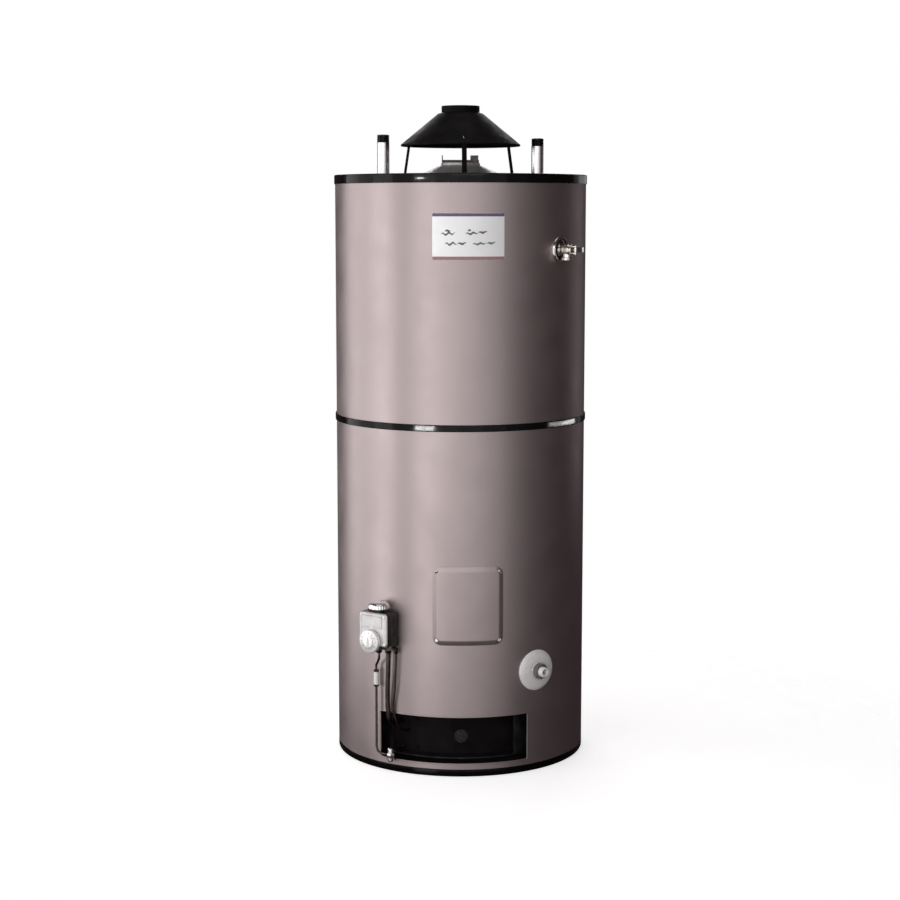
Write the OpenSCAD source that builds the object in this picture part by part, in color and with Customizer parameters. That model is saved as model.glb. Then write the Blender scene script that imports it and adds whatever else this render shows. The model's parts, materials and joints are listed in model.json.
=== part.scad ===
// Gas-fired storage water heater: floor-standing tank, painted jacket, draft hood on top.
// Millimetres, +Z up, front towards -Y, origin at the centre of the base on the floor.
// Azimuths are measured from the front, positive towards +X.

/* [Jacket] */
// Outer radius of the painted jacket
body_r = 336.5; // [330:0.5:345]
// Thickness of the jacket sheet
jacket_t = 1.2; // [0.8:0.1:2]
// Height of the base ring
base_h = 19; // [15:1:20]
// Height of the middle of the band that joins the two jacket sections
band_z = 915.25; // [900:0.25:940]
// Height of the band
band_h = 17.5; // [14:0.5:24]
// Underside of the top cover's rim
cover_z0 = 1537; // [1530:1:1545]
// Top of the top cover's rim
cover_z1 = 1561; // [1559:1:1565]

/* [Tank] */
// Outer radius of the steel tank
tank_r = 285; // [280:1:288]
// Wall thickness of the tank
tank_t = 4; // [3:0.5:5]
// Height at which the bottom head meets the shell
head_low_z = 240; // [235:1:243]
// Height at which the top head meets the shell
head_top_z = 1480; // [1470:1:1490]
// Rise of each dished head
head_rise = 45; // [35:1:50]

/* [Flue] */
// Outer radius of the flue tube
flue_r = 50; // [48:0.5:52]
// Wall thickness of the flue tube
flue_t = 3; // [2:0.5:4]
// Top of the flue tube
flue_top_z = 1594; // [1590:1:1600]
// Radius of the draft hood's rim
hood_r = 160; // [150:1:165]
// Height of the draft hood's rim
hood_z0 = 1638; // [1630:1:1642]
// Top of the draft hood's cone
hood_z1 = 1724; // [1715:1:1730]
// Radius of the shoulder at the top of the cone
shoulder_r = 59; // [56:0.5:62]
// Outer radius of the vent collar
vent_r = 50.8; // [50:0.1:52]
// Top of the vent collar
vent_z = 1744; // [1740:1:1750]

/* [Water connections] */
// Distance of each water nipple from the middle
nipple_x = 207; // [203:0.5:210]
// Outer radius of a water nipple
nipple_r = 16.7; // [16:0.1:17]
// Inner radius of a water nipple
nipple_bore_r = 13.3; // [12.5:0.1:13.6]
// Top of the hot water nipple
hot_z = 1668; // [1650:1:1680]
// Top of the cold water nipple
cold_z = 1659; // [1650:1:1680]

/* [Front fittings] */
// Azimuth of the gas control
gas_az = -38.7; // [-39.5:0.1:-38]
// Height of the gas control's middle
gas_z = 384; // [380:1:388]
// Azimuth of the relief valve
relief_az = 46.6; // [44:0.1:48]
// Height of the relief valve
relief_z = 1367; // [1340:1:1390]
// Azimuth of the drain valve
drain_az = 33; // [31:0.1:35]
// Height of the drain valve
drain_z = 270; // [262:1:272]
// Height of the cleanout cover's middle
cleanout_z = 453.5; // [450:0.5:460]
// Height of the label's middle
label_z = 1402; // [1390:1:1415]
// Radius of the white disc round the drain valve
drain_disc_r = 54; // [50:0.5:57]

/* [Combustion opening] */
// Azimuth of the opening's middle
open_az = -7; // [-8:0.5:-6]
// Width of the opening, measured straight across
open_w = 390; // [384:1:392]
// Bottom of the opening
open_z0 = 33; // [32:1:36]
// Top of the opening
open_z1 = 160; // [156:1:161]

/* [Hidden] */
$fn = 96;
EPS = 0.5;
jacket_in = body_r - jacket_t;
tank_in = tank_r - tank_t;
open_z = (open_z0 + open_z1) / 2;
open_h = open_z1 - open_z0;
skin = body_r - tank_r;          // depth from the jacket's face to the tank
pan_t = 1.5;                     // sheet of the base pan
deck_t = 1.5;                    // sheet of the top cover's deck
deck_z = cover_z1 - 4;           // top face of the deck
wool_z0 = base_h + pan_t + 0.5;  // underside of the insulation
wool_z1 = deck_z - deck_t - 10;  // top of the insulation
wool_split_z = 912;
wool_r = jacket_in - 0.4;
anode_y = 190;
spud_r = 24;
spud_z0 = head_top_z - 2;
spud_z1 = head_top_z + 32;
ledge_z = head_top_z + 8;        // ledge inside a spud, on which a nipple or the dip tube sits
nipple_thread = 20;              // threaded length at the top of a water nipple
thread_r = 13.3;                 // shank of a 3/4 in fitting
frame_wall = 1.2;                // sheet of the lining in the combustion opening
door_r0 = tank_r + 0.4;
door_t = 1.5;
door_z0 = open_z0 + 4;
door_z1 = open_z1 - 4;
sight_az = open_az + 4;
screw_r = 1.9;
screw_hole_r = 2.15;
hood_t = 1;
hood_slope = atan2(hood_z1 - hood_z0 - 4, hood_r - shoulder_r);
leg_w = 13;
leg_t = 1.5;
leg_foot_r = 188;
leg_azimuths = [0, 120, -120];
gas_w = 92;
gas_h = 100;
gas_d0 = 8;                      // back of the gas control, from the jacket's face
gas_d1 = 38;                     // seam between its body and its cover
gas_d2 = 57;                     // front of its cover
gas_top = gas_h / 2;
gas_corner = 9;
gas_cover_low = -38;             // bottom of its cover; the dial hangs below it
knob_r = 27.5;
knob_d = 30;                     // depth of the gas cock's axis from the jacket's face
dial_r = 31;
dial_x = -6;
dial_y = -26;
button_x = -35.5;
button_d = 22;
button_r = 4.5;
inlet_d = 23;
relief_out_z = 21;               // depth of the relief outlet's axis
relief_top = 40;                 // outer end of the relief valve's body
relief_tip = 55;                 // depth of the lever's pin
relief_pin_x = -9;
hose_r = 13.4;                   // hose thread of the drain valve
hose_z0 = 24;                    // where the hose thread starts
hose_z1 = 38;                    // end of the drain valve
drain_journal_r = 13;
drain_seat_z = 14;               // bottom of the drain valve's wide bore
shaft_r = 5;                     // shafts of the gas cock's knob and of the dial
shaft_clearance = 0.05;
pin_clearance = 0.04;
burner_z = 118;
tube_top_z = gas_z - gas_top - 14;
cleanout_w = 185;
cleanout_h = 207;
cleanout_corner = 22;
cleanout_screw_az = 13.9;
cleanout_screw_z = 92;
door_screws = [[-26.3, 60], [-26.3, 134], [24, 60], [24, 134], [-40.3, 60], [-40.3, 134]];
seam_screw_z = [90, 360, 630, 860, 1010, 1260, 1500];
pilot_hole = [-35, 55];          // azimuth and height of a hole in the manifold plate
burner_hole = [-36.4, 125.3];
lead_hole = [-31.5, 104];
lead_r = 2.6;
burner_nut = [-35.6, 353];       // azimuth and distance from the middle
pilot_nut = [-39.6, 360];
lead_nut = [-32.2, 347.5];
filter_at = [-42.7, 349];

// Lines that the burner tube, the pilot tube and the thermocouple's lead follow
burner_line = smooth([
    polar(-35.6, 353, tube_top_z), polar(-35.6, 353, 300), polar(-36.2, 351, 240), polar(-36.6, 348, 190),
    polar(-36.5, 346, 158), polar(-36.4, 341, 140), polar(-36.4, 328, 129), polar(-36.4, 300, 124.5),
    polar(-36.4, 280, 124.5), polar(-36.4, 120, 96), polar(-36.4, 60, 80), polar(-36.4, 22, 74),
    polar(-36.4, 5, 78), [0, 0, 85], [0, 0, 90], [0, 0, 94]], 4);
pilot_line_outer = smooth([
    polar(-39.6, 360, tube_top_z), polar(-39.7, 359, 308), polar(-41.2, 353, 294), polar(-42.7, 349, 282),
    polar(-42.7, 349, 270), polar(-42.7, 349, 160), polar(-42.7, 349, 80), polar(-42.7, 349, 66),
    polar(-42.2, 349, 54), polar(-40.8, 349, 48), polar(-39, 349, 47), polar(-37, 349, 47),
    polar(-35.9, 349, 47)], 4);
pilot_line_inner = smooth([
    polar(-35, 333, 55), polar(-35, 290, 55), polar(-35, 272, 55), polar(-39, 230, 58), polar(-42, 180, 68),
    polar(-42, 155, 86), polar(-42, 152, 104), polar(-42, 152, 112)], 4);
lead_line = smooth([
    polar(-32.2, 347.5, tube_top_z), polar(-32.4, 347, 300), polar(-33.2, 345, 225), polar(-34.1, 343, 185),
    polar(-34.1, 342, 162), polar(-33.3, 339, 140), polar(-32.2, 325, 116), polar(-31.5, 300, 104),
    polar(-31.5, 284, 104), polar(-31.5, 268, 102), polar(-38, 205, 90), polar(-46, 172, 96),
    polar(-51, 162, 106), polar(-52, 160, 112), polar(-52, 160, 118)], 4);

// ---------- helpers ----------

// Places children on the jacket: their +Z points out, +Y up and +X to the right.
module on_jacket(az, z) {
    rotate([0, 0, az]) translate([0, -body_r, z]) rotate([90, 0, 0]) children();
}

module ring(r_in, r_out, z0, z1) {
    translate([0, 0, z0]) difference() {
        cylinder(r = r_out, h = z1 - z0);
        translate([0, 0, -1]) cylinder(r = r_in, h = z1 - z0 + 2);
    }
}

module rod(r, z0, z1) {
    translate([0, 0, z0]) cylinder(r = r, h = z1 - z0);
}

// A sector of a ring, between two azimuths.
module sector(az0, az1, r_in, r_out, z0, z1) {
    rotate([0, 0, az0 - 90]) rotate_extrude(angle = az1 - az0)
        translate([r_in, z0]) square([r_out - r_in, z1 - z0]);
}

function corner(cx, cy, r, a0) = [for (i = [0:6]) [cx + r * cos(a0 + i * 15), cy + r * sin(a0 + i * 15)]];

function rounded_points(w, h, r) = concat(
    corner(w / 2 - r, h / 2 - r, r, 0), corner(r - w / 2, h / 2 - r, r, 90),
    corner(r - w / 2, r - h / 2, r, 180), corner(w / 2 - r, r - h / 2, r, 270));

module rounded_slab(w, h, r, z0, z1) {
    translate([0, 0, z0]) linear_extrude(z1 - z0) polygon(rounded_points(w, h, r));
}

// Cuts children back to what lies outside the jacket's face by gap.
module clear_of_jacket(gap) {
    difference() {
        children();
        rod(body_r + gap, 0, cover_z1, $fn = 180);
    }
}

function polar(az, r, z) = [r * sin(az), -r * cos(az), z];

function blend_point(a, b, c, d, t) = 0.5 * (2 * b + (c - a) * t
    + (2 * a - 5 * b + 4 * c - d) * t * t + (3 * b - a - 3 * c + d) * t * t * t);

// A smooth line through the points, with n steps between each two.
function smooth(p, n) = concat(
    [for (i = [0:len(p) - 2], s = [0:n - 1])
        blend_point(p[max(i - 1, 0)], p[i], p[i + 1], p[min(i + 2, len(p) - 1)], s / n)],
    [p[len(p) - 1]]);

function unit(v) = v / norm(v);

// A round tube swept along path; side is a direction that the path never follows.
module sweep(path, r, side, sides = 12) {
    n = len(path);
    rings = [for (i = [0:n - 1])
        let (t = unit(path[min(i + 1, n - 1)] - path[max(i - 1, 0)]),
             u = unit(cross(side, t)), v = cross(t, u))
        for (k = [0:sides - 1]) path[i] + r * (cos(k * 360 / sides) * u + sin(k * 360 / sides) * v)];
    walls = [for (i = [0:n - 2], k = [0:sides - 1])
        let (a = i * sides + k, b = i * sides + (k + 1) % sides)
        each [[a, a + sides, b + sides], [a, b + sides, b]]];
    ends = [[for (k = [0:sides - 1]) k], [for (k = [sides - 1:-1:0]) (n - 1) * sides + k]];
    polyhedron(rings, concat(walls, ends));
}

function coil_path(r, z0, z1, turns, steps) =
    [for (i = [0:turns * steps]) [r * cos(i * 360 / steps), r * sin(i * 360 / steps),
        z0 + (z1 - z0) * i / (turns * steps)]];

module coil_spring(r, wire_r, z0, z1, turns) {
    sweep(coil_path(r, z0 + wire_r, z1 - wire_r, turns, 14), wire_r, [0, 0, 1], 6);
}

// Sheet-metal screw: +Z out, seat of the head at z = 0.
module screw(length = 9) {
    cylinder(r = 4.6, h = 0.9, $fn = 32);
    translate([0, 0, 0.9]) cylinder(r = 3.7, h = 3.2, $fn = 6);
    translate([0, 0, -length]) cylinder(r = screw_r, h = length + EPS, $fn = 32);
}

module screw_hole(length = 14) {
    translate([0, 0, -length]) cylinder(r = screw_hole_r, h = length + 6, $fn = 32);
}

// Radius at which a dished head's face stands at distance r from the middle.
function dish_radius(r) = (r * r + head_rise * head_rise) / (2 * head_rise);
function dish_z(edge_r, edge_z, r) = let (s = dish_radius(edge_r))
    edge_z + head_rise - s + sqrt(s * s - r * r);

// Side outline of a dished head: the dome, then a straight flange that turns down.
function head_profile(edge_z, hole_r, flange) = let (r1 = tank_in - 0.3, n = 8) concat(
    [for (i = [0:n]) let (r = hole_r + (r1 - hole_r) * i / n) [r, dish_z(r1, edge_z, r)]],
    [[r1, edge_z - flange], [r1 - tank_t, edge_z - flange]],
    [for (i = [n:-1:0]) let (r = hole_r + (r1 - tank_t - hole_r) * i / n)
        [r, dish_z(r1, edge_z, r) - tank_t]]);

// ---------- base and jacket ----------

module base_ring() {
    color([0.05, 0.05, 0.055]) rotate_extrude() polygon([
        [298, 0], [body_r, 0], [body_r, base_h], [298, base_h], [298, base_h - 3],
        [body_r - 4, base_h - 3], [body_r - 4, 3], [298, 3]]);
}

module base_pan() {
    color([0.3, 0.3, 0.3]) difference() {
        rod(body_r - 3, base_h, base_h + pan_t);
        rod(70, base_h - 1, base_h + pan_t + 1);
        for (i = [0:11]) rotate([0, 0, i * 30]) translate([180, 0, 0])
            rod(18, base_h - 1, base_h + pan_t + 1);
    }
}

module opening_cut(w, h, r) {
    on_jacket(open_az, open_z) rounded_slab(w, h, r, -140, 8);
}

module cleanout_hole_cut() {
    on_jacket(0, cleanout_z) rounded_slab(150, 170, 12, -skin - 8, 6);
}

module fitting_hole(az, z, r) {
    on_jacket(az, z) rod(r, -skin - 4, 5);
}

// Places children at the four screws of the cleanout cover.
module at_cleanout_screws() {
    for (s = [-1, 1], t = [-1, 1]) on_jacket(s * cleanout_screw_az, cleanout_z + t * cleanout_screw_z)
        children();
}

// Places children at the screws of the inner door and the manifold plate.
module at_door_screws() {
    for (p = door_screws) on_jacket(p[0], p[1]) children();
}

module jacket_sheet(z0, z1) {
    difference() {
        union() {
            ring(jacket_in, body_r, z0, z1);
            sector(178.2, 181.8, body_r - 0.6, body_r + 0.7, z0, z1);
        }
        for (z = seam_screw_z) on_jacket(180, z) screw_hole();
    }
}

module jacket_lower() {
    color([0.68, 0.62, 0.61]) difference() {
        jacket_sheet(base_h, band_z - 1.2);
        opening_cut(open_w, open_h, 6);
        cleanout_hole_cut();
        fitting_hole(gas_az, gas_z, 22);
        fitting_hole(drain_az, drain_z, 20);
        at_cleanout_screws() screw_hole();
    }
}

module jacket_upper() {
    color([0.68, 0.62, 0.61]) difference() {
        jacket_sheet(band_z + 1.2, deck_z - deck_t);
        fitting_hole(relief_az, relief_z, 27);
    }
}

// H-shaped strip that grips both jacket edges.
module jacket_band() {
    lip = 2;
    out0 = body_r + 1.1;
    out1 = out0 + lip;
    color([0.04, 0.04, 0.045]) rotate_extrude() polygon([
        [out1 - 0.8, band_z - band_h / 2], [out1, band_z - band_h / 2 + 2], [out1, band_z + band_h / 2 - 2],
        [out1 - 0.8, band_z + band_h / 2], [out0, band_z + band_h / 2], [out0, band_z + 1],
        [jacket_in - 0.1, band_z + 1], [jacket_in - 0.1, band_z - 1], [out0, band_z - 1],
        [out0, band_z - band_h / 2]]);
}

module top_cover() {
    rim_in = body_r + 1.1;
    rim_out = rim_in + 1.2;
    color([0.04, 0.04, 0.045]) difference() {
        rotate_extrude() polygon([
            [flue_r + 4, deck_z - deck_t], [rim_in, deck_z - deck_t], [rim_in, cover_z0], [rim_out, cover_z0],
            [rim_out, cover_z1 - 1], [rim_out - 1, cover_z1], [rim_in - 3, cover_z1], [rim_in - 4, deck_z],
            [flue_r + 4, deck_z]]);
        for (s = [-1, 1]) translate([s * nipple_x, 0, 0]) rod(nipple_r + 2.5, deck_z - 9, deck_z + 9);
        translate([0, anode_y, 0]) rod(22, deck_z - 9, deck_z + 9);
        for (az = leg_azimuths) rotate([0, 0, az]) translate([0, 7 - leg_foot_r, deck_z]) screw_hole();
    }
}

module label_plate() {
    color([0.85, 0.86, 0.88]) intersection() {
        ring(body_r + 0.15, body_r + 0.9, label_z - 80, label_z + 80);
        on_jacket(0, label_z) rounded_slab(183, 118, 8, -40, 10);
    }
}

module sheet_metal_screws() {
    color("silver") {
        at_cleanout_screws() translate([0, 0, 3.4]) screw();
        at_door_screws() translate([0, 0, door_r0 + door_t - body_r + 0.2]) screw();
        for (z = seam_screw_z) on_jacket(180, z) translate([0, 0, 1.15]) screw();
        for (az = leg_azimuths) {
            rotate([0, 0, az]) translate([0, 7 - leg_foot_r, deck_z + leg_t]) screw();
            hood_screw_place(az) translate([0, 0, 0.1]) screw(6);
        }
    }
}

// ---------- insulation ----------

module insulation_lower() {
    color([0.93, 0.8, 0.45]) difference() {
        ring(tank_r + 0.5, wool_r, wool_z0, wool_split_z);
        opening_cut(open_w + 1, open_h + 1, 6);
        cleanout_hole_cut();
        fitting_hole(gas_az, gas_z, spud_r + 1);
        fitting_hole(drain_az, drain_z, spud_r + 1);
        at_door_screws() rod(7, -skin - 2, 0);
        for (z = seam_screw_z) on_jacket(180, z) screw_hole();
        at_cleanout_screws() screw_hole();
    }
}

module insulation_upper() {
    dome_gap = 1;
    profile = concat(
        [[tank_r + 0.5, wool_split_z + 0.5], [wool_r, wool_split_z + 0.5], [wool_r, wool_z1],
            [flue_r + 0.6, wool_z1]],
        [for (i = [0:8]) let (r = flue_r + 0.6 + (tank_r + 0.5 - flue_r - 0.6) * i / 8)
            [r, dish_z(tank_r + 0.5, head_top_z + dome_gap, r) + dome_gap]]);
    color([0.93, 0.8, 0.45]) difference() {
        rotate_extrude() polygon(profile);
        fitting_hole(relief_az, relief_z, spud_r + 3.5);
        for (s = [-1, 1]) translate([s * nipple_x, 0, 0]) rod(spud_r + 1, spud_z0 - 4, wool_z1 + 1);
        translate([0, anode_y, 0]) rod(spud_r + 1, spud_z0 - 4, wool_z1 + 1);
        for (z = seam_screw_z) on_jacket(180, z) screw_hole();
    }
}

// ---------- tank ----------

module spud(bore_r, low_bore_r) {
    difference() {
        rod(spud_r, spud_z0, spud_z1);
        rod(bore_r, ledge_z, spud_z1 + 1);
        rod(low_bore_r, spud_z0 - 1, ledge_z + 1);
    }
}

module side_spud(az, z) {
    on_jacket(az, z) rod(spud_r, -skin - 8, -skin + 12);
}

module side_bore(az, z) {
    on_jacket(az, z) rod(thread_r + 0.3, -skin - 20, -skin + 20);
}

module tank_shell() {
    color([0.25, 0.25, 0.27]) difference() {
        union() {
            ring(tank_in, tank_r, base_h + pan_t, head_top_z);
            difference() {
                union() {
                    side_spud(gas_az, gas_z);
                    side_spud(drain_az, drain_z);
                    side_spud(relief_az, relief_z);
                    on_jacket(0, cleanout_z) rod(68, -skin - 12, -skin + 16);
                }
                rod(tank_in + 1, base_h, head_top_z);
            }
        }
        side_bore(gas_az, gas_z);
        side_bore(drain_az, drain_z);
        side_bore(relief_az, relief_z);
        on_jacket(0, cleanout_z) rod(48, -skin - 30, -skin + 30);
        sector(-38.5, 22.5, tank_in - 5, tank_r + 5, door_z0 + 5, door_z1 - 6);
        at_door_screws() translate([0, 0, -skin]) screw_hole();
        for (i = [0:5]) on_jacket(0, cleanout_z) rotate([0, 0, i * 60 + 30]) translate([58, 0, 0])
            rod(4.3, -skin - 14, -skin + 20);
    }
}

module tank_bottom_head() {
    color([0.2, 0.2, 0.22]) rotate_extrude() polygon(head_profile(head_low_z, flue_r + 0.3, 28));
}

module tank_top_head() {
    color([0.2, 0.2, 0.22]) {
        difference() {
            rotate_extrude() polygon(head_profile(head_top_z - 2, flue_r + 0.3, 25));
            for (s = [-1, 1]) translate([s * nipple_x, 0, 0]) rod(spud_r - 3, 1400, 1600);
            translate([0, anode_y, 0]) rod(spud_r - 3, 1400, 1600);
        }
        for (s = [-1, 1]) translate([s * nipple_x, 0, 0]) spud(nipple_r + 0.2, s > 0 ? 10.3 : nipple_bore_r);
        translate([0, anode_y, 0]) spud(thread_r + 0.2, 11);
    }
}

module water_nipple(x, top_z, bottom_z) {
    translate([x, 0, 0]) difference() {
        union() {
            rod(nipple_r - 0.3, bottom_z, top_z);
            rod(nipple_r, top_z - nipple_thread, top_z);
        }
        rod(nipple_bore_r, bottom_z - 1, top_z + 1);
    }
}

module cold_nipple() {
    color("silver") water_nipple(nipple_x, cold_z, ledge_z + 2.2);
}

module hot_nipple() {
    color("silver") water_nipple(-nipple_x, hot_z, ledge_z + 0.1);
}

module dip_tube() {
    color([0.9, 0.9, 0.88]) translate([nipple_x, 0, 0]) difference() {
        union() {
            rod(13, ledge_z, ledge_z + 2);
            rod(9.8, 460, ledge_z + 1);
        }
        rod(7.8, 459, ledge_z + 3);
    }
}

module anode_rod() {
    color("silver") translate([0, anode_y, 0]) {
        rod(10, 520, ledge_z + 2);
        rod(thread_r, ledge_z + 0.5, spud_z1 + 0.5);
        translate([0, 0, spud_z1 + 0.2]) cylinder(r = 15.5, h = 22, $fn = 6);
    }
}

// ---------- flue and draft hood ----------

module flue_tube() {
    color([0.75, 0.75, 0.76]) ring(flue_r - flue_t, flue_r, head_low_z - 10, flue_top_z);
}

// Hanging strip with fins bent out on both sides, and two ears that rest on the flue's top edge.
module flue_baffle() {
    strip_w = 44;
    t = 1.6;
    ear_h = 20;
    color([0.7, 0.7, 0.7]) {
        translate([-strip_w / 2, -t / 2, 460]) cube([strip_w, t, flue_top_z + 8 - 460]);
        for (i = [0:8]) translate([0, 0, 520 + i * 118]) rotate([i % 2 == 0 ? 35 : -35, 0, 0])
            translate([-15, -33, -t / 2]) cube([30, 66, t]);
        translate([-flue_r + 0.4, -t / 2, flue_top_z]) cube([flue_r * 2 - 0.8, t, 8]);
        translate([-flue_r + 0.2, -12, flue_top_z + 3]) cube([t, 24, ear_h - 3]);
        translate([flue_r - 13, 0, flue_top_z + 3]) rotate([0, 0, -35]) translate([-12, -t / 2, 0])
            cube([24, t, ear_h - 3]);
    }
}

module flue_collar() {
    foot_r = 128;
    color([0.04, 0.04, 0.045]) rotate_extrude() polygon([
        [flue_r + 0.3, deck_z + 36], [flue_r + 1.5, deck_z + 36], [flue_r + 1.5, deck_z + 30],
        [foot_r - 6, deck_z + 1.5], [foot_r, deck_z + 1.5], [foot_r, deck_z], [foot_r - 8, deck_z],
        [flue_r + 0.3, deck_z + 29]]);
}

function hood_line(r) = hood_z0 + 4 + (hood_r - r) * (hood_z1 - hood_z0 - 4) / (hood_r - shoulder_r);

module draft_hood() {
    color([0.04, 0.04, 0.045]) difference() {
        rotate_extrude() polygon([
            [hood_r, hood_z0], [hood_r, hood_z0 + 4], [shoulder_r, hood_z1], [vent_r, hood_z1 + 2],
            [vent_r, vent_z], [vent_r - hood_t, vent_z], [vent_r - hood_t, hood_z1 + 1.2],
            [shoulder_r - 0.5, hood_z1 - 1], [hood_r - hood_t, hood_z0 + 3.2], [hood_r - hood_t, hood_z0]]);
        for (az = leg_azimuths) hood_screw_place(az) screw_hole(6);
    }
}

// Point on the hood's cone at which a leg is fixed; +Z is the cone's outward normal.
module hood_screw_place(az) {
    r = hood_r - 14;
    rotate([0, 0, az]) translate([0, -r, hood_line(r)]) rotate([hood_slope, 0, 0]) children();
}

// Flat strip from a foot on the deck, up to the rim and in under the cone.
module hood_leg(az) {
    r_top = hood_r - hood_t - 0.6;
    top = [for (r = [r_top, hood_r - 26]) [r, hood_line(r) - hood_t * 2.1]];
    profile = concat(
        [[leg_foot_r, deck_z], [leg_foot_r, deck_z + leg_t], [171, deck_z + leg_t]],
        [[r_top, hood_z0 - 4], top[0], top[1], [top[1][0], top[1][1] - leg_t * 1.3],
            [top[0][0] - leg_t, top[0][1] - leg_t * 0.6], [r_top - leg_t, hood_z0 - 4], [169, deck_z]]);
    color([0.05, 0.05, 0.055]) difference() {
        rotate([0, 0, az - 90]) rotate([90, 0, 0]) translate([0, 0, -leg_w / 2])
            linear_extrude(leg_w) polygon(profile);
        rotate([0, 0, az]) translate([0, 7 - leg_foot_r, deck_z]) screw_hole();
        hood_screw_place(az) screw_hole(8);
    }
}

module hood_leg_front() { hood_leg(leg_azimuths[0]); }
module hood_leg_right() { hood_leg(leg_azimuths[1]); }
module hood_leg_left() { hood_leg(leg_azimuths[2]); }

// ---------- cleanout ----------

module cleanout_cover() {
    color([0.68, 0.62, 0.61]) difference() {
        intersection() {
            union() {
                ring(body_r + 1.6, body_r + 3.2, cleanout_z - 120, cleanout_z + 120);
                difference() {
                    ring(body_r + 0.3, body_r + 2.6, cleanout_z - 120, cleanout_z + 120);
                    on_jacket(0, cleanout_z)
                        rounded_slab(cleanout_w - 4, cleanout_h - 4, cleanout_corner - 2, -50, 20);
                }
            }
            on_jacket(0, cleanout_z) rounded_slab(cleanout_w, cleanout_h, cleanout_corner, -50, 20);
        }
        at_cleanout_screws() screw_hole();
    }
}

module handhole_holes() {
    for (i = [0:5]) rotate([0, 0, i * 60 + 30]) translate([58, 0, -skin]) rod(4.3, 0, 40);
}

module handhole_gasket() {
    color([0.1, 0.1, 0.1]) on_jacket(0, cleanout_z) difference() {
        ring(48, 66, -skin + 16.1, -skin + 19);
        handhole_holes();
    }
}

module handhole_plate() {
    color([0.3, 0.3, 0.32]) on_jacket(0, cleanout_z) difference() {
        rod(67, -skin + 19.1, -skin + 26);
        handhole_holes();
    }
}

module handhole_bolts() {
    color("silver") on_jacket(0, cleanout_z) for (i = [0:5])
        rotate([0, 0, i * 60 + 30]) translate([58, 0, -skin]) {
            rod(4, 6, 27);
            translate([0, 0, 26.1]) cylinder(r = 7.5, h = 5.3, $fn = 6);
        }
}

// ---------- relief valve (local axes: +Z out, +Y up) ----------

module relief_escutcheon() {
    color([0.9, 0.9, 0.9]) clear_of_jacket(0.2)
        on_jacket(relief_az, relief_z) ring(27, 34.5, -4, 6);
}

module relief_body() {
    color([0.8, 0.78, 0.72]) on_jacket(relief_az, relief_z) difference() {
        union() {
            rod(thread_r, -skin - 16, -6);
            translate([0, 0, -7]) cylinder(r = 18, h = 10, $fn = 6);
            rod(15.5, 2, relief_top);
            translate([0, 0, relief_out_z]) rotate([90, 0, 0]) rod(15, 0, 27);
            for (s = [-1, 1]) translate([relief_pin_x - 4, s * 8.5 - 1.5, relief_top - 1]) cube([9, 3, 20]);
        }
        rod(7, -skin - 17, 11);
        rod(10.5, 10, relief_top - 4);
        rod(3 + shaft_clearance, relief_top - 5, relief_top + 2);
        translate([0, 0, relief_out_z]) rotate([90, 0, 0]) rod(8, 0, 12);
        translate([0, 0, relief_out_z]) rotate([90, 0, 0]) rod(12.1, 11, 28);
        translate([relief_pin_x, 0, relief_tip]) rotate([90, 0, 0]) rod(2 + pin_clearance, -12, 12);
    }
}

module relief_stem() {
    color("goldenrod") on_jacket(relief_az, relief_z) {
        rod(9, 10.4, 13.4);
        rod(3, 13, relief_tip - 5);
        rod(4.2, relief_tip - 6.5, relief_tip - 3.5);
    }
}

module relief_spring() {
    color("silver") on_jacket(relief_az, relief_z) coil_spring(6.8, 1, 13.8, relief_top - 4.4, 5);
}

module relief_lever() {
    arm = 36;
    color([0.75, 0.76, 0.78]) on_jacket(relief_az, relief_z) difference() {
        union() {
            translate([relief_pin_x, 0, relief_tip]) rotate([90, 0, 0]) rod(4.2, -6.4, 6.4);
            translate([relief_pin_x, -6.4, relief_tip - 1.2]) cube([arm, 12.8, 2.4]);
            translate([relief_pin_x + arm - 2.4, -6.4, relief_tip - 1.2]) cube([2.4, 12.8, 6]);
        }
        translate([relief_pin_x, 0, relief_tip]) rotate([90, 0, 0]) rod(2 + shaft_clearance, -8, 8);
    }
}

module relief_lever_pin() {
    color("silver") on_jacket(relief_az, relief_z)
        translate([relief_pin_x, 0, relief_tip]) rotate([90, 0, 0]) {
            rod(2, -11, 11);
            rod(3, 10.3, 12);
        }
}

// ---------- drain valve ----------

module drain_escutcheon() {
    color([0.93, 0.93, 0.91]) clear_of_jacket(0.2) on_jacket(drain_az, drain_z)
        rotate_extrude() polygon([[14.2, -8], [drain_disc_r, -8], [drain_disc_r, 0.5],
            [drain_disc_r - 6, 3.5], [38, 5.6], [22, 7], [14.2, 7]]);
}

module drain_body() {
    color([0.9, 0.9, 0.87]) on_jacket(drain_az, drain_z) difference() {
        union() {
            rod(thread_r, -skin - 14, 8);
            rod(20, 7.2, 9.2);
            rod(drain_journal_r, 9, hose_z0 + 1);
            rod(hose_r, hose_z0, hose_z1);
        }
        rod(5, -skin - 15, drain_seat_z + 1);
        rod(8, drain_seat_z, hose_z1 + 1);
    }
}

module drain_plug() {
    color([0.3, 0.3, 0.3]) on_jacket(drain_az, drain_z) {
        rod(7.9, drain_seat_z + 0.4, drain_seat_z + 6);
        rod(3, drain_seat_z + 5, hose_z1 - 10);
    }
}

module drain_knob() {
    color([0.9, 0.9, 0.87]) on_jacket(drain_az, drain_z) difference() {
        union() {
            rod(19.5, 9.6, hose_z0 - 0.5);
            for (i = [0:11]) rotate([0, 0, i * 30]) translate([18.5, -1.6, 10.6]) cube([2.6, 3.2, 12]);
        }
        rod(drain_journal_r + shaft_clearance, 9, hose_z0 + 1);
    }
}

// ---------- gas control ----------

// Places children on the gas cock's axis: their +Z points up, with z = 0 at the control's top.
module on_cock_axis() {
    translate([0, gas_top, knob_d]) rotate([-90, 0, 0]) children();
}

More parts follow.
